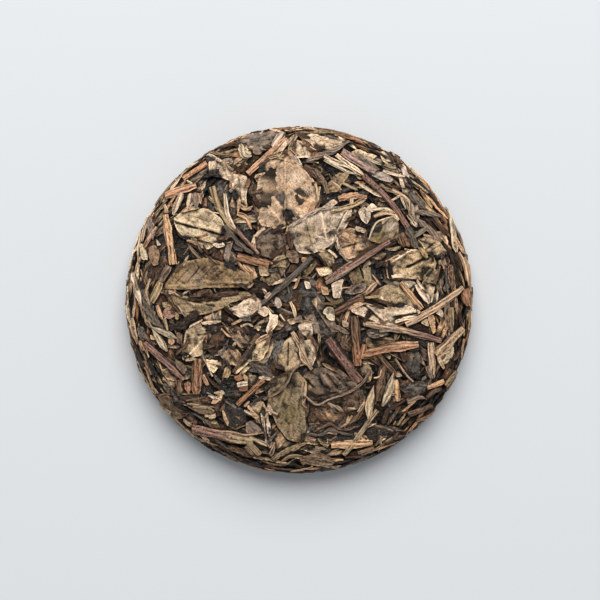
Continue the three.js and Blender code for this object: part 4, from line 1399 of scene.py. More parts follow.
def lay_bed(heap, face, count, mix, cap, seed, length, width, cell):
    """An even bed, each piece a golden angle on from the last."""
    rng = np.random.default_rng([SEED, seed])
    for i in range(count):
        away = MAP_REACH * math.sqrt((i + 0.6) / count)
        turn = i * GOLDEN_ANGLE
        spot = away * math.cos(turn), away * math.sin(turn)
        on_rim = away > SHOULDER_RADIUS - 4
        heading = math.degrees(turn) + 90 + rng.normal(0, 16) if on_rim else rng.uniform(0, 180)
        wide = rng.uniform(*width) * (0.6 if on_rim else 1)
        spread_piece(heap, face, rng, *spot, heading, rng.uniform(*length), wide, mix,
                     cap + rng.uniform(-0.3, 0.3), seed * 1000 + i, rods=0.12, cell=cell)


def flow(x, y):
    """The way the shreds lie at a place: along the rim near it, in drifts elsewhere."""
    free = smooth_step(90, 62, math.hypot(x, y))
    return math.degrees(math.atan2(y, x)) + 90 + 220 * free * float(noise(x / 30, y / 30, 77))


PLACES_DRAWN = 14  # out of how many drawn places a bit takes the lowest
EDGE_BIT_GAP = 8.0  # how far apart slivers cross a leaf's edge
CORE_INSET = 3.4  # how far the core lies under the mould's face
MAP_REACH = 108.0  # how far each side's pieces reach past the widest line
LARGE_LEAF = 12.0  # from what width another leaf peeps out from under it


def lay_bits(heap, face, count, low, high, mix, cap, seed, length, width, rods, cell,
             mask=None, shaded_side_mix=None):
    """Bits between two radii that go where the cake is lowest so far. The dark mix is
    painted shade: its tones are drawn more often the lower and the further right a place
    lies in the view from above, on the side turned from the light."""
    rng = np.random.default_rng([SEED, seed])
    for i in range(count):
        away = np.sqrt(rng.uniform(low**2, high**2, PLACES_DRAWN))
        turn = rng.uniform(0, 2 * math.pi, PLACES_DRAWN)
        x, y = away * np.cos(turn), away * np.sin(turn)
        ix = np.rint((x + HALF) / CELL).astype(int)
        iy = np.rint((y + HALF) / CELL).astype(int)
        height = face.level[iy, ix] + rng.normal(0, 0.2, PLACES_DRAWN)
        if mask is not None:
            height = height + 5.0 * mask[iy, ix]
        best = int(np.argmin(height))
        on_rim = away[best] > SHOULDER_RADIUS - 3
        heading = flow(x[best], y[best]) + rng.normal(0, 12 if on_rim else 26)
        long_ = rng.uniform(*length) * (1.35 if on_rim else 1)
        from_left = (-x[best] if face.below else x[best]) / away[best]
        # Painted shade: the chance of the lighter mix falls lower down and further right in the view
        # from above
        bright = 0.5 - 0.2 * from_left + 0.45 * y[best] / away[best]
        tones = shaded_side_mix if shaded_side_mix and rng.random() > bright else mix
        spread_piece(heap, face, rng, x[best], y[best], heading, long_, rng.uniform(*width),
                     tones, cap + rng.uniform(-0.35, 0.25), seed * 1000 + i, rods, cell)


def lay_underside(heap, face):
    """The underside: a dark bed, leaves, shreds, and the rim's lower half."""
    lay_bed(heap, face, count=170, mix=DARK_MIX, cap=-1.6, seed=51, length=(18, 32),
            width=(9, 18), cell=2.4)
    lay_bits(heap, face, count=150, low=0, high=86, mix=UNDER_MIX, cap=-0.25, seed=52,
             length=(18, 42), width=(7, 20), rods=0.15, cell=1.8)
    lay_bits(heap, face, count=130, low=0, high=84, mix=UNDER_MIX, cap=-0.05, seed=53,
             length=(10, 28), width=(3, 9), rods=0.6, cell=1.6)
    lay_bits(heap, face, count=190, low=82, high=MAP_REACH, mix=RIM_LIGHT, cap=0.0, seed=54,
             length=(12, 26), width=(3, 8), rods=0.45, cell=1.6, shaded_side_mix=RIM_SHADED_SIDE)


def seed_rim(top, under):
    """Carries the underside's height over the rim, so that the top lies on it."""
    line = (np.arange(GRID) * CELL) - HALF
    x, y = np.meshgrid(line, line)
    away, turn = np.hypot(x, y), np.arctan2(y, x)
    other = RUN_LENGTH - away
    gx = (-other * np.cos(turn) + HALF) / CELL
    gy = (other * np.sin(turn) + HALF) / CELL
    shared = other < MAP_REACH - 2
    top.level[shared] = np.maximum(top.level, read_grid(under.level, gx, gy))[shared]


def lay_edge_bits(heap, face, outline, cap, seed):
    """Slivers that cross a shown leaf's edge, as its neighbours do."""
    rng = np.random.default_rng([SEED, seed])
    points = on_map(outline)
    for (x0, y0), (x1, y1) in zip(points, np.roll(points, -1, axis=0)):
        for _ in range(rng.poisson(math.hypot(x1 - x0, y1 - y0) / EDGE_BIT_GAP)):
            share = rng.random()
            heading = math.degrees(math.atan2(y1 - y0, x1 - x0)) + rng.normal(0, 28)
            spread_piece(heap, face, rng, x0 + share * (x1 - x0), y0 + share * (y1 - y0), heading,
                         rng.uniform(4, 11), rng.uniform(1.3, 3.4), EDGE_MIX, cap, seed,
                         rods=0.35, cell=0.8)
            seed += 1


def lay_lower_leaf(heap, face, outline, cap, seed):
    """A darker leaf that peeps out from under a large shown one, shifted down in the view from above:
    partly a leaf of the layer below and partly the shown leaf's painted shadow.
    """
    points = np.array(outline)
    if np.ptp(points, axis=0).min() < LARGE_LEAF:
        return
    rng = np.random.default_rng([SEED, seed])
    middle = points.mean(0)
    # Shifted down, to the side where the shown leaf's shadow falls, as painted shadow
    points = middle + 1.03 * (points - middle) + rng.normal(0, 1.0, 2) - [0, 0.7]
    tone = draw(LOWER_MIX, rng)
    lay_leaf(heap, face, KIND_OF_TONE[tone], tone, "crumpled", cap, 1.0, seed, outline=points)


# Where the seeds of the tabled pieces start, and of what lies under and over them
DEEP_SEEDS, LEAF_SEEDS, STEM_SEEDS = 7000, 8000, 9000
EDGE_SEEDS, LOWER_SEEDS = 12000, 15000
STEM_CAP = 1.5
THICK_STEM = 2.3  # from what width a stem is made rounder


def lay_top(heap, face):
    """The top: what shows in its gaps first, then the shown leaves and the stems."""
    mask = taken_places()
    lay_bed(heap, face, count=190, mix=DARK_MIX, cap=-1.9, seed=61, length=(16, 30),
            width=(8, 17), cell=3.0)
    lay_bits(heap, face, count=240, low=0, high=84, mix=DARK_MIX, cap=-1.0, seed=62,
             length=(8, 22), width=(3, 9), rods=0.45, cell=1.2, mask=mask)
    for i, (tone, look, at, length, width, heading) in enumerate(read_rows(DEEP_LEAVES)):
        lay_leaf(heap, face, KIND_OF_TONE[tone], tone, look, cap=-0.6, cell=0.8,
                 seed=DEEP_SEEDS + i, at=on_map(at), heading=heading, length=length, width=width)
    lay_bits(heap, face, count=210, low=0, high=86, mix=MIDDLE_MIX, cap=-0.5, seed=65,
             length=(9, 22), width=(4, 9), rods=0.1, cell=0.9, mask=mask)
    lay_bits(heap, face, count=330, low=0, high=88, mix=BITS_MIX, cap=-0.3, seed=63,
             length=(6, 18), width=(0.9, 2.5), rods=0.5, cell=0.9, mask=mask)
    lay_bits(heap, face, count=480, low=82, high=MAP_REACH, mix=RIM_LIGHT, cap=0.0, seed=64,
             length=(7, 20), width=(1.2, 3.4), rods=0.4, cell=1.0, shaded_side_mix=RIM_SHADED_SIDE)
    for i, (tone, look, level, outline, creases, patches) in enumerate(shown_leaves()):
        lay_lower_leaf(heap, face, outline, level - 0.5, seed=LOWER_SEEDS + i)
        lay_leaf(heap, face, KIND_OF_TONE[tone], tone, look, cap=level, cell=0.6,
                 seed=LEAF_SEEDS + i, outline=outline, creases=creases, patches=patches)
        if np.ptp(outline, axis=0).min() > EDGE_BIT_GAP:
            lay_edge_bits(heap, face, outline, level + 0.5, seed=EDGE_SEEDS + 100 * i)
    for i, (tone, form, width, *points) in enumerate(read_rows(STEMS)):
        end_tone = points.pop() if isinstance(points[-1], str) else None
        kind = "silver_buds" if form == "bud" else KIND_OF_ROD.get(tone, "tan_stems")
        lay_rod(heap, face, kind, tone, form, on_map(points), width, cap=STEM_CAP, step=1.1,
                sides=12 if width > THICK_STEM else 8, seed=STEM_SEEDS + i, end_tone=end_tone)


LAYUP = {}
# The painted shade reads the level round a place over these many cells
NEAR_CELLS, WIDE_CELLS = 1.6, 6.0  # over how many cells the level round a place is read


def layup():
    """Lays the whole cake once, and keeps it for the operators that build its pieces."""
    if not LAYUP:
        heap = Heap()
        under, top = Face(True, CORE_INSET), Face(False, CORE_INSET)
        lay_underside(heap, under)
        seed_rim(top, under)
        lay_top(heap, top)
        # The level round each place, which the painted shade reads
        for face in (under, top):
            face.near = blur(crest(face.level, CREST_CELLS), NEAR_CELLS)
            face.wide = blur(face.level, WIDE_CELLS)
        LAYUP["heap"] = heap
    return LAYUP["heap"]


# How fast the painted shade gets dark between pieces and in wider hollows, after what depth
NEAR_SHADE, NEAR_FREE = 1.1, 0.3
WIDE_SHADE, WIDE_FREE = 0.40, 0.25
SHARP_ANGLE = math.radians(32)


def depth_shade(part):
    """How deep a place lies between its neighbours, from 0 to 1: how much painted shade darkens it.
    """
    gx, gy = (part["x"] + HALF) / CELL, (part["y"] + HALF) / CELL
    near = read_grid(part["face"].near, gx, gy) - part["up"]
    wide = read_grid(part["face"].wide, gx, gy) - part["up"]
    between = NEAR_SHADE * np.clip(near - NEAR_FREE, 0, 2)
    hollow = WIDE_SHADE * np.clip(wide - WIDE_FREE, 0, 3)
    return np.clip(between + hollow, 0, 1)


def add_attribute(mesh, name, kind, values):
    """A value at each point of a mesh."""
    attribute = mesh.attributes.new(name, kind, "POINT")
    field = "color" if kind == "FLOAT_COLOR" else "value"
    attribute.data.foreach_set(field, np.ascontiguousarray(values, np.float32).ravel())


def piece_object(name, parts):
    """One mesh of all the pieces of a kind, with what the materials read."""
    places = [p["face"].spot(p["x"], p["y"], p["up"]) for p in parts]
    counts = np.cumsum([0] + [len(p) for p in places])
    faces = np.concatenate([p["faces"] + n for p, n in zip(parts, counts)])
    mesh = bpy.data.meshes.new(name)
    points = np.concatenate(places)
    mesh.vertices.add(len(points))
    mesh.vertices.foreach_set("co", points.astype(np.float32).ravel())
    mesh.loops.add(3 * len(faces))
    mesh.loops.foreach_set("vertex_index", faces.astype(np.int32).ravel())
    mesh.polygons.add(len(faces))
    mesh.polygons.foreach_set("loop_start", np.arange(0, 3 * len(faces), 3, dtype=np.int32))
    mesh.update(calc_edges=True)
    tint = np.concatenate([p["tint"] for p in parts])
    add_attribute(mesh, "tint", "FLOAT_COLOR", np.c_[tint, np.ones(len(tint))])
    for field in ("along", "across", "relief", "edge"):
        add_attribute(mesh, field, "FLOAT", np.concatenate([p[field] for p in parts]))
    # The depth attribute is painted shade: how far each point is darkened between pieces and in
    # hollows
    add_attribute(mesh, "depth", "FLOAT", np.concatenate([depth_shade(p) for p in parts]))
    piece = bpy.data.objects.new(name, mesh)
    bpy.context.scene.collection.objects.link(piece)
    select_only(piece)
    bpy.ops.object.shade_smooth_by_angle(angle=SHARP_ANGLE)
    return piece


def select_only(piece):
    """Makes a piece the one that operators work on."""
    bpy.ops.object.select_all(action="DESELECT")
    piece.select_set(True)
    bpy.context.view_layer.objects.active = piece


def dress(piece, material):
    """A finished piece: its material, its body and the node it stands for."""
    piece.data.materials.clear()
    piece.data.materials.append(material)
    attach(piece, "root")
    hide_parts(NODE)


# ---------------------------------------------------------------- materials


class Graph:
    """Adds and joins nodes in one node tree."""

    def __init__(self, tree):
        self.tree = tree

    def add(self, kind, inputs=None, **settings):
        """A node with its settings, and a value or a link for its inputs."""
        node = self.tree.nodes.new(kind)
        for key, value in settings.items():
            setattr(node, key, value)
        for key, value in (inputs or {}).items():
            if isinstance(value, bpy.types.NodeSocket):
                self.tree.links.new(value, node.inputs[key])
            else:
                node.inputs[key].default_value = value
        return node

    def math(self, operation, *values, clamp=False):
        """One operation on numbers or sockets."""
        inputs = dict(enumerate(values))
        return self.add("ShaderNodeMath", inputs, operation=operation, use_clamp=clamp).outputs[0]

    def field(self, name):
        """A number that the mesh carries at each point."""
        return self.add("ShaderNodeAttribute", attribute_name=name).outputs["Fac"]

    def ramp(self, value, low, high, to_low=0.0, to_high=1.0):
        """A soft step from one value to another."""
        node = self.add("ShaderNodeMapRange",
                        {"Value": value, "From Min": low, "From Max": high,
                         "To Min": to_low, "To Max": to_high},
                        interpolation_type="SMOOTHSTEP")
        return node.outputs["Result"]

    def mix(self, share, first, second):
        """A share of the second colour in the first."""
        return self.add("ShaderNodeMix", {0: share, 6: first, 7: second},
                        data_type="RGBA").outputs[2]

    def noise(self, vector, scale, detail, rough=0.5, twist=0.0):
        """Soft lumps, from 0 to 1."""
        node = self.add("ShaderNodeTexNoise",
                        {"Vector": vector, "Scale": scale, "Detail": detail, "Roughness": rough,
                         "Distortion": twist})
        return node.outputs["Fac"]


def new_group(name, inputs, outputs):
    """A node group's tree, its graph, and the sockets inside it."""
    group = bpy.data.node_groups.new(name, "ShaderNodeTree")
    for label, default in inputs.items():
        socket = group.interface.new_socket(label, in_out="INPUT", socket_type="NodeSocketFloat")
        socket.default_value = default
    for label in outputs:
        kind = "NodeSocketColor" if label == "Colour" else "NodeSocketFloat"
        group.interface.new_socket(label, in_out="OUTPUT", socket_type=kind)
    graph = Graph(group)
    return group, graph, graph.add("NodeGroupInput").outputs, graph.add("NodeGroupOutput").inputs


def tone_group():
    """Brings a piece's tone, its relief and its depth together as one colour: painted highlight on
    its ridges and along its edges, and painted shade in its grooves and the deeper it lies between
    its neighbours.
    """
    name = "Pressed Tea Tone"
    if name in bpy.data.node_groups:
        return bpy.data.node_groups[name]
    group, g, given, out = new_group(
        name, {"Figure": 0.0, "Relief Contrast": 0.4, "Edge Light": 0.1, "Depth Shade": 0.8,
               "Mottle": 0.3, "Mottle Scale": 240.0, "Warmth": 0.2, "Brightness": 1.0},
        ["Colour", "Mottle"])
    spot = g.add("ShaderNodeTexCoord").outputs["Object"]
    tint = g.add("ShaderNodeAttribute", attribute_name="tint").outputs["Color"]
    blotch = g.noise(spot, given["Mottle Scale"], 3.0, 0.6, 0.6)
    grain = g.noise(spot, 1500.0, 2.0, 0.6)
    uneven = g.ramp(blotch, 0.32, 0.68, -1.0, 1.0)
    fine = g.ramp(grain, 0.3, 0.7, -1.0, 1.0)
    # Painted highlight on ridges and painted shade in grooves, from the relief share
    gain = g.math("MULTIPLY_ADD", g.field("relief"), given["Relief Contrast"], 1.0)
    gain = g.math("MULTIPLY_ADD", uneven, given["Mottle"], gain)
    gain = g.math("MULTIPLY_ADD", fine, 0.24, gain)
    # Painted highlight along a leaf's edges
    gain = g.math("MULTIPLY_ADD", g.field("edge"), given["Edge Light"], gain)
    gain = g.math("ADD", gain, given["Figure"])
    gain = g.math("MAXIMUM", gain, 0.12)
    # Painted shade: darker the deeper a place lies between its neighbours
    dark = g.math("MULTIPLY", g.field("depth"), given["Depth Shade"])
    open_ = g.math("SUBTRACT", 1.0, dark, clamp=True)
    gain = g.math("MULTIPLY", gain, g.math("POWER", open_, 1.4))
    gain = g.math("MULTIPLY", gain, given["Brightness"])
    drift = g.ramp(g.noise(spot, 120.0, 2.0), 0.35, 0.65, -1.0, 1.0)
    warm = g.math("MULTIPLY", drift, given["Warmth"])
    red = g.math("MULTIPLY_ADD", warm, 0.2, 1.01)
    blue = g.math("MULTIPLY_ADD", warm, -0.25, 1.0)
    filter_ = g.add("ShaderNodeCombineXYZ", {"X": red, "Y": 1.0, "Z": blue}).outputs[0]
    toned = g.add("ShaderNodeVectorMath", {0: tint, 1: filter_}, operation="MULTIPLY").outputs[0]
    lit = g.add("ShaderNodeVectorMath", {0: toned, "Scale": gain}, operation="SCALE").outputs[0]
    g.tree.links.new(lit, out["Colour"])
    g.tree.links.new(uneven, out["Mottle"])
    return group


def vein_group():
    """Side veins that leave a leaf's midrib at a slant, and the net between them."""
    name = "Tea Leaf Veins"
    if name in bpy.data.node_groups:
        return bpy.data.node_groups[name]
    group, g, given, out = new_group(
        name, {"Spacing": 4.0, "Slant": 0.9, "Net Scale": 900.0},
        ["Veins", "Net", "Streaks", "Creases"])
    spot = g.add("ShaderNodeTexCoord").outputs["Object"]
    across = g.math("ABSOLUTE", g.field("across"))
    waver = g.math("MULTIPLY", g.noise(spot, 160.0, 2.0), 3.0)
    run = g.math("SUBTRACT", g.field("along"), g.math("MULTIPLY", across, given["Slant"]))
    run = g.math("ADD", run, waver)
    place = g.math("MULTIPLY", g.noise(spot, 50.0, 0.0), 25.0)
    lines = g.add("ShaderNodeCombineXYZ", {"X": g.math("MULTIPLY", run, 1.3),
                                           "Y": g.math("MULTIPLY", across, 0.16), "Z": place})
    streaks = g.ramp(g.noise(lines.outputs[0], 1.0, 3.0, 0.65), 0.3, 0.7, -1.0, 1.0)
    g.tree.links.new(streaks, out["Streaks"])
    wide = g.math("SUBTRACT", g.noise(spot, 190.0, 1.0, 0.5, 0.5), 0.5)
    close = g.math("SUBTRACT", g.noise(spot, 420.0, 1.0, 0.5, 0.3), 0.5)
    wide = g.ramp(g.math("ABSOLUTE", wide), 0.035, 0.0)
    close = g.math("MULTIPLY", g.ramp(g.math("ABSOLUTE", close), 0.05, 0.0), 0.6)
    g.tree.links.new(g.math("MAXIMUM", wide, close), out["Creases"])
    run = g.math("DIVIDE", run, given["Spacing"])
    away = g.math("ABSOLUTE", g.math("SUBTRACT", g.math("FRACT", run), 0.5))
    side = g.ramp(away, 0.06, 0.0)
    rib = g.ramp(across, 0.55, 0.1)
    veins = g.math("MAXIMUM", g.math("MULTIPLY", side, 0.6), rib)
    net = g.add("ShaderNodeTexVoronoi", {"Vector": spot, "Scale": given["Net Scale"]},
                feature="DISTANCE_TO_EDGE").outputs["Distance"]
    g.tree.links.new(veins, out["Veins"])
    g.tree.links.new(g.ramp(net, 0.0, 0.12, 1.0, 0.0), out["Net"])
    return group


def fibre_group():
    """Fine lines that run along a stem or a rolled leaf."""
    name = "Tea Stem Fibres"
    if name in bpy.data.node_groups:
        return bpy.data.node_groups[name]
    group, g, given, out = new_group(name, {"Line Width": 0.5, "Line Length": 9.0}, ["Fibres"])
    along = g.math("DIVIDE", g.field("along"), given["Line Length"])
    across = g.math("DIVIDE", g.field("across"), given["Line Width"])
    spot = g.add("ShaderNodeTexCoord").outputs["Object"]
    place = g.math("MULTIPLY", g.noise(spot, 60.0, 0.0), 30.0)
    lines = g.add("ShaderNodeCombineXYZ", {"X": along, "Y": across, "Z": place}).outputs[0]
    fibres = g.ramp(g.noise(lines, 1.0, 3.0, 0.6), 0.3, 0.7, -1.0, 1.0)
    g.tree.links.new(fibres, out["Fibres"])
    return group


def use(graph, group, **inputs):
    """Places a node group in a material, with its own values."""
    node = graph.add("ShaderNodeGroup", node_tree=group)
    for key, value in inputs.items():
        socket = node.inputs[key.replace("_", " ").title()]
        if isinstance(value, bpy.types.NodeSocket):
            graph.tree.links.new(value, socket)
        else:
            socket.default_value = value
    return node.outputs


def new_material(name):
    """An empty material and its graph."""
    material = bpy.data.materials.new(name)
    material.use_nodes = True
    material.node_tree.nodes.clear()
    return material, Graph(material.node_tree)


def finish_material(graph, colour, roughness, height, bump, gloss=0.35):
    """The shader at a material's end."""
    normal = graph.add("ShaderNodeBump", {"Height": height, "Strength": bump, "Distance": 0.0006})
    shader = graph.add("ShaderNodeBsdfPrincipled",
                       {"Base Color": colour, "Roughness": roughness,
                        "Specular IOR Level": gloss, "Normal": normal.outputs[0]})
    output = graph.add("ShaderNodeOutputMaterial")
    graph.tree.links.new(shader.outputs[0], output.inputs["Surface"])


def leaf_material(name, brightness, roughness, veins, contrast, warmth=0.15, shade=0.9,
                  spacing=4.2, gloss=0.22):
    """A dry leaf: veins, streaks and creases over its tone, with painted shade in its creases,
    grooves and hollows and painted highlight on its ridges and edges.
    """
    material, g = new_material(name)
    lines = use(g, vein_group(), spacing=spacing)
    fibres = use(g, fibre_group(), line_width=0.7, line_length=6.0)["Fibres"]
    figure = g.math("MULTIPLY", lines["Veins"], veins)
    figure = g.math("MULTIPLY_ADD", lines["Net"], -0.06, figure)
    figure = g.math("MULTIPLY_ADD", fibres, 0.06, figure)
    figure = g.math("MULTIPLY_ADD", lines["Streaks"], 0.28, figure)
    # Darker along the creases: painted shade
    figure = g.math("MULTIPLY_ADD", lines["Creases"], -0.42, figure)
    # Painted highlight on ridges and edges, painted shade in grooves and between pieces
    tone = use(g, tone_group(), figure=figure, relief_contrast=contrast, edge_light=0.28,
               depth_shade=shade, mottle=0.13, mottle_scale=430.0, warmth=warmth,
               brightness=brightness)
    height = g.math("MULTIPLY_ADD", lines["Veins"], 0.5, g.math("MULTIPLY", lines["Streaks"], 0.5))
    height = g.math("MULTIPLY_ADD", lines["Net"], -0.25, height)
    height = g.math("MULTIPLY_ADD", lines["Creases"], -0.9, height)
    rough = g.math("MULTIPLY_ADD", tone["Mottle"], 0.07, roughness)
    finish_material(g, tone["Colour"], rough, height, 0.6, gloss)
    return material


def stem_material(name, brightness, highlight_colour, lines=0.55, contrast=0.85, roughness=0.5,
                  width=0.8, warmth=0.15, highlight_lines=0.35):
    """A stem or a rolled leaf: fibres along it, some of them pale as painted highlight where the
    painted shade is not deep, and painted shade in its grooves and between pieces.
    """
    material, g = new_material(name)
    fibres = use(g, fibre_group(), line_width=width)["Fibres"]
    figure = g.math("MULTIPLY", fibres, lines)
    tone = use(g, tone_group(), figure=figure, relief_contrast=contrast, edge_light=0.0,
               depth_shade=0.8, mottle=0.12, warmth=warmth, brightness=brightness)
    # Painted highlight: pale lines on the fibres, left out where the painted shade is deep
    pale = g.math("MULTIPLY", g.ramp(fibres, 0.2, 1.0), highlight_lines)
    open_ = g.ramp(g.field("depth"), 0.5, 0.0)
    colour = g.mix(g.math("MULTIPLY", pale, open_), tone["Colour"], (*highlight_colour, 1))
    rough = g.math("MULTIPLY_ADD", fibres, 0.06, roughness)
    finish_material(g, colour, rough, fibres, 0.6, 0.25)
    return material


def core_material(dark, light):
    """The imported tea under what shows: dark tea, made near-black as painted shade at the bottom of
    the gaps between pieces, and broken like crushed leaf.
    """
    material, g = new_material("tea_core")
    spot = g.add("ShaderNodeTexCoord").outputs["Object"]
    coarse = g.noise(spot, 260.0, 4.0, 0.65, 0.8)
    colour = g.mix(g.ramp(coarse, 0.35, 0.7), (*dark, 1), (*light, 1))
    finish_material(g, colour, g.ramp(coarse, 0.3, 0.7, 0.85, 0.7), coarse, 0.8)
    return material


# ---------------------------------------------------------------- the core and the stage


SECTION_POINTS = 64
TURN_STEPS = 180
CORE_SHARP_ANGLE = math.radians(50)

# The stage, in metres
FLOOR_SIZE = 6.0
ROOM_COLOUR = (0.965, 0.983, 1.0, 1)
WINDOW_PLACE = (0.1, 2.3, 2.76)
EYE_OFFSET = 0.0004  # keeps the camera just off the axis


def core_object():
    """Spins the mould's section, drawn in, and breaks up its face."""
    bpy.ops.object.select_all(action="DESELECT")
    bpy.ops.mesh.primitive_plane_add(size=0.01, location=(0, 0, 0))
    core = bpy.context.object
    core.name = core.data.name = "tea_core"
    runs = np.linspace(0, RUN_LENGTH, SECTION_POINTS)
    radius = np.interp(runs, RUN, RADIUS) - np.interp(runs, RUN, OUT_RADIUS) * CORE_INSET
    height = np.interp(runs, RUN, HEIGHT) - np.interp(runs, RUN, OUT_HEIGHT) * CORE_INSET
    radius[0] = radius[-1] = 0
    bpy.ops.object.mode_set(mode="EDIT")
    bpy.ops.mesh.select_all(action="SELECT")
    bpy.ops.mesh.merge(type="CENTER")
    bpy.ops.transform.translate(value=(0, 0, height[0] * MM))
    for dr, dz in zip(np.diff(radius), np.diff(height)):
        bpy.ops.mesh.extrude_vertices_move(
            TRANSFORM_OT_translate={"value": (float(dr) * MM, 0, float(dz) * MM)})
    bpy.ops.mesh.select_all(action="SELECT")
    bpy.ops.mesh.spin(steps=TURN_STEPS, angle=2 * math.pi, center=(0, 0, 0), axis=(0, 0, 1))
    bpy.ops.mesh.select_all(action="SELECT")
    bpy.ops.mesh.remove_doubles(threshold=0.00001)
    bpy.ops.mesh.normals_make_consistent(inside=False)
    bpy.ops.object.mode_set(mode="OBJECT")
    roughen(core, "clouds", size=0.006, strength=0.0012)
    roughen(core, "crumbs", size=0.0022, strength=0.0006)
    bpy.ops.object.shade_smooth_by_angle(angle=CORE_SHARP_ANGLE)
    return core


def roughen(piece, name, size, strength):
    """Breaks up a piece's face with lumps of a size."""
    texture = bpy.data.textures.new(name, "CLOUDS")
    texture.noise_scale = size
    modifier = piece.modifiers.new(name, "DISPLACE")
    modifier.texture = texture
    modifier.strength = strength
    modifier.mid_level = 0.6
    modifier.texture_coords = "LOCAL"
    select_only(piece)
    bpy.ops.object.modifier_apply(modifier=name)


def floor_material():
    """A pale, even table top."""
    material, g = new_material("pale_floor")
    spot = g.add("ShaderNodeTexCoord").outputs["Object"]
    soft = g.noise(spot, 3.0, 2.0)
    colour = g.mix(soft, (*srgb(202, 206, 210), 1), (*srgb(205, 209, 213), 1))
    finish_material(g, colour, g.ramp(soft, 0.3, 0.7, 0.55, 0.5), soft, 0.0)
    return material


def add_floor():
    """What the cake lies on."""
    bpy.ops.object.select_all(action="DESELECT")
    bpy.ops.mesh.primitive_plane_add(size=FLOOR_SIZE, location=(0, 0, 0))
    floor = bpy.context.object
    floor.name = "floor"
    floor.data.materials.append(floor_material())
    floor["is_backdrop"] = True


def add_area_light(name, place, size, power, colour):
    """A round soft light that faces the cake."""
    light = bpy.data.lights.new(name, "AREA")
    light.shape = "DISK"
    light.size = size
    light.energy = power
    light.color = colour
    lamp = bpy.data.objects.new(name, light)
    bpy.context.scene.collection.objects.link(lamp)
    x, y, z = place
    lamp.location = place
    lamp.rotation_euler = (math.atan2(math.hypot(x, y), z), 0, math.atan2(y, x) + math.pi / 2)


def add_world(strength):
    """Even light from all round."""
    world = bpy.data.worlds.new("soft_room")
    world.use_nodes = True
    g = Graph(world.node_tree)
    world.node_tree.nodes.clear()
    sky = g.add("ShaderNodeBackground", {"Color": ROOM_COLOUR, "Strength": strength})
    out = g.add("ShaderNodeOutputWorld")
    g.tree.links.new(sky.outputs[0], out.inputs["Surface"])
    bpy.context.scene.world = world


def add_camera(distance):
    """The photo's camera, straight above the cake."""
    camera = bpy.data.cameras.new("camera")
    camera.sensor_width = SENSOR
    camera.lens = SENSOR * (distance - WIDEST_HEIGHT) / (PIXEL * FRAME_PIXELS)
    camera.clip_start = 0.01
    eye = bpy.data.objects.new("camera", camera)
    eye.location = (EYE_OFFSET, 0, distance * MM)
    bpy.context.scene.collection.objects.link(eye)
    bpy.context.scene.camera = eye


# ---------------------------------------------------------------- the add-on


def brightness(name, default):
    """A setting for how bright a kind of piece is."""
    return bpy.props.FloatProperty(
        name=name, description=f"Brightness of the {name.lower()}", default=default, min=0.1)


def colour(name, description, default):
    """A setting for a colour."""
    return bpy.props.FloatVectorProperty(
        name=name, description=description, default=default, subtype="COLOR", size=3, min=0.0,
        max=1.0)


class TeaCakeLight(bpy.types.PropertyGroup):
    """The stage's light and camera."""

    room: bpy.props.FloatProperty(
        name="Room Light", description="Strength of the even light from all round",
        default=0.385, min=0.0, soft_max=2.0)
    window: bpy.props.FloatProperty(
        name="Window Light", description="Power of the large soft light beyond the cake",
        default=181.0, min=0.0, unit="POWER")
    window_size: bpy.props.FloatProperty(
        name="Window Size", description="Width of the large soft light",
        default=3.4, min=0.1, unit="LENGTH")
    window_colour: colour("Window Colour", "Colour of the large soft light", (1.0, 0.98, 0.945))
    camera_height: bpy.props.FloatProperty(
        name="Camera Height", description="How far the camera is above the cake's foot",
        default=CAMERA_HEIGHT * MM, min=0.4, unit="LENGTH")


class TeaCakeFinish(bpy.types.PropertyGroup):
    """How bright and how rough each kind of piece is, and the colours under and on it."""

    pale: brightness("Pale Leaves", 1.24)
    tan: brightness("Tan Leaves", 1.25)
    olive: brightness("Olive Leaves", 1.3)
    dark: brightness("Dark Leaves", 1.12)
    stems: brightness("Stems", 1.14)
    roughness: bpy.props.FloatProperty(
        name="Roughness", description="How matt the dry leaf is", default=0.62, min=0.0, max=1.0,
        subtype="FACTOR")
    # The colour of the pale lines painted along the stems' fibres as painted highlight
    fibre_highlight: colour("Fibre Colour", "Colour of the pale fibres along the stems", srgb(196, 164, 134))
    # The core's darkest colour is painted shade at the bottom of the gaps between pieces
    core_dark: colour("Core Dark", "Colour of the packed tea's gaps", srgb(26, 22, 20))
    core_light: colour("Core Light", "Colour of the packed tea's crumbs", srgb(66, 52, 42))


class TeaOperator:
    """What all the cake's operators share."""

    bl_options = {"REGISTER", "UNDO"}

    def lay(self, name, slot, material):
        """Makes one mesh of what was laid of a kind."""
        parts = layup().parts.get(name)
        if not parts:
            raise RuntimeError(f"nothing of {name} was laid")
        dress(piece_object(name, parts), material)
        return {"FINISHED"}


class TEACAKE_OT_core(TeaOperator, bpy.types.Operator):
    """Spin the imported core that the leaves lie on"""

    bl_idname = "teacake.core"
    bl_label = "Core"

    def execute(self, context):
        finish = context.scene.tea_finish
        dress(core_object(), core_material(finish.core_dark, finish.core_light))
        return {"FINISHED"}


class TEACAKE_OT_pale_leaves(TeaOperator, bpy.types.Operator):
    """Lay the pale leaves"""

    bl_idname = "teacake.pale_leaves"
    bl_label = "Pale Leaves"

    def execute(self, context):
        finish = context.scene.tea_finish
        return self.lay("pale_leaves", "pale_leaf", leaf_material(
            "pale_leaf", finish.pale, finish.roughness, veins=0.08, contrast=0.38, warmth=0.1))


class TEACAKE_OT_tan_leaves(TeaOperator, bpy.types.Operator):
    """Lay the tan and khaki leaves"""

    bl_idname = "teacake.tan_leaves"
    bl_label = "Tan Leaves"

    def execute(self, context):
        finish = context.scene.tea_finish
        return self.lay("tan_leaves", "pale_leaf", leaf_material(
            "tan_leaf", finish.tan, finish.roughness, veins=0.10, contrast=0.42, warmth=0.12))


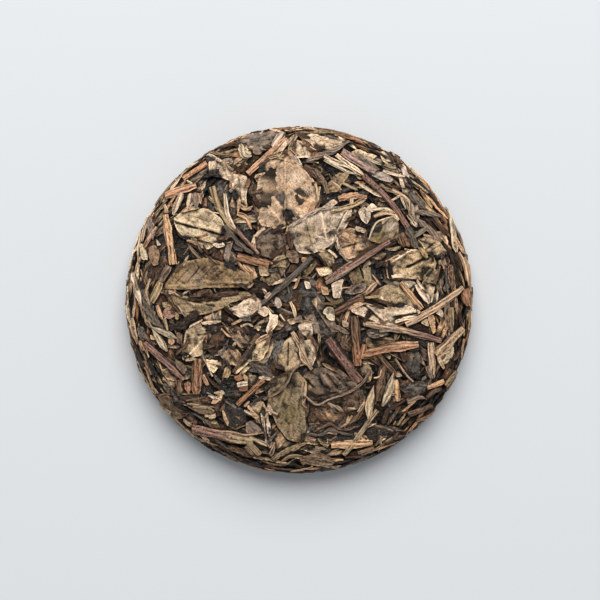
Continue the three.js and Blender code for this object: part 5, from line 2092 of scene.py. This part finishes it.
class TEACAKE_OT_olive_leaves(TeaOperator, bpy.types.Operator):
    """Lay the olive and taupe leaves"""

    bl_idname = "teacake.olive_leaves"
    bl_label = "Olive Leaves"

    def execute(self, context):
        finish = context.scene.tea_finish
        return self.lay("olive_leaves", "olive_leaf", leaf_material(
            "olive_leaf", finish.olive, finish.roughness, veins=0.16, contrast=0.5, spacing=3.0))


class TEACAKE_OT_brown_leaves(TeaOperator, bpy.types.Operator):
    """Lay the brown leaves"""

    bl_idname = "teacake.brown_leaves"
    bl_label = "Brown Leaves"

    def execute(self, context):
        return self.lay("brown_leaves", "dark_leaf", leaf_material(
            "brown_leaf", context.scene.tea_finish.dark, roughness=0.5, veins=0.12, contrast=0.7,
            warmth=0.2, shade=0.8))


class TEACAKE_OT_dark_leaves(TeaOperator, bpy.types.Operator):
    """Lay the dark leaves"""

    bl_idname = "teacake.dark_leaves"
    bl_label = "Dark Leaves"

    def execute(self, context):
        return self.lay("dark_leaves", "dark_leaf", leaf_material(
            "dark_leaf", context.scene.tea_finish.dark, roughness=0.34, veins=0.12, contrast=0.95,
            shade=0.65, gloss=0.5))


class TEACAKE_OT_rolled_leaves(TeaOperator, bpy.types.Operator):
    """Lay the dark leaves that are rolled up"""

    bl_idname = "teacake.rolled_leaves"
    bl_label = "Rolled Leaves"

    def execute(self, context):
        finish = context.scene.tea_finish
        return self.lay("rolled_leaves", "dark_leaf", stem_material(
            "rolled_leaf", finish.dark, finish.fibre_highlight, lines=0.4, contrast=0.6, roughness=0.46,
            highlight_lines=0.1))


class TEACAKE_OT_red_stems(TeaOperator, bpy.types.Operator):
    """Lay the purple and red-brown stems"""

    bl_idname = "teacake.red_stems"
    bl_label = "Red Stems"

    def execute(self, context):
        finish = context.scene.tea_finish
        return self.lay("red_stems", "stem", stem_material("red_stem", finish.stems, finish.fibre_highlight))


class TEACAKE_OT_tan_stems(TeaOperator, bpy.types.Operator):
    """Lay the tan stems and shreds"""

    bl_idname = "teacake.tan_stems"
    bl_label = "Tan Stems"

    def execute(self, context):
        finish = context.scene.tea_finish
        return self.lay("tan_stems", "stem", stem_material(
            "tan_stem", finish.stems, finish.fibre_highlight, roughness=0.55))


class TEACAKE_OT_silver_buds(TeaOperator, bpy.types.Operator):
    """Lay the silver buds"""

    bl_idname = "teacake.silver_buds"
    bl_label = "Silver Buds"

    def execute(self, context):
        finish = context.scene.tea_finish
        return self.lay("silver_buds", "bud", stem_material(
            "silver_bud", finish.stems, finish.fibre_highlight, lines=0.45, roughness=0.7, width=0.7,
            warmth=0.05))


class TEACAKE_OT_stage(TeaOperator, bpy.types.Operator):
    """Set up the floor, the light and the camera"""

    bl_idname = "teacake.stage"
    bl_label = "Stage"

    def execute(self, context):
        light = context.scene.tea_light
        add_floor()
        add_area_light("window", WINDOW_PLACE, light.window_size, light.window,
                       light.window_colour)
        add_world(light.room)
        add_camera(light.camera_height / MM)
        context.scene.view_settings.view_transform = "Standard"
        return {"FINISHED"}


PIECES = [
    TEACAKE_OT_core, TEACAKE_OT_pale_leaves, TEACAKE_OT_tan_leaves, TEACAKE_OT_olive_leaves,
    TEACAKE_OT_brown_leaves, TEACAKE_OT_dark_leaves, TEACAKE_OT_rolled_leaves, TEACAKE_OT_red_stems,
    TEACAKE_OT_tan_stems, TEACAKE_OT_silver_buds,
]


class TEACAKE_PT_panel(bpy.types.Panel):
    """The cake's pieces, their finish and the stage."""

    bl_label = "Tea Cake"
    bl_idname = "TEACAKE_PT_panel"
    bl_space_type = "VIEW_3D"
    bl_region_type = "UI"
    bl_category = "Tea Cake"

    def draw(self, context):
        column = self.layout.column()
        for name in TeaCakeFinish.__annotations__:
            column.prop(context.scene.tea_finish, name)
        for piece in PIECES:
            column.operator(piece.bl_idname)
        for name in TeaCakeLight.__annotations__:
            column.prop(context.scene.tea_light, name)
        column.operator(TEACAKE_OT_stage.bl_idname)


CLASSES = [TeaCakeLight, TeaCakeFinish, *PIECES, TEACAKE_OT_stage, TEACAKE_PT_panel]


def register():
    for item in CLASSES:
        bpy.utils.register_class(item)
    bpy.types.Scene.tea_light = bpy.props.PointerProperty(type=TeaCakeLight)
    bpy.types.Scene.tea_finish = bpy.props.PointerProperty(type=TeaCakeFinish)


def unregister():
    del bpy.types.Scene.tea_finish
    del bpy.types.Scene.tea_light
    for item in reversed(CLASSES):
        bpy.utils.unregister_class(item)


def main():
    """Builds the cake and the stage."""
    register()
    for piece in PIECES:
        group, name = piece.bl_idname.split(".")
        getattr(getattr(bpy.ops, group), name)()
    bpy.ops.teacake.stage()
    boxes = {"cad": CAD_BOX, "visual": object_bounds()}
    {k: [list(map(float, p)) for p in v] for k, v in boxes.items()}


if __name__ == "__main__":
    main()
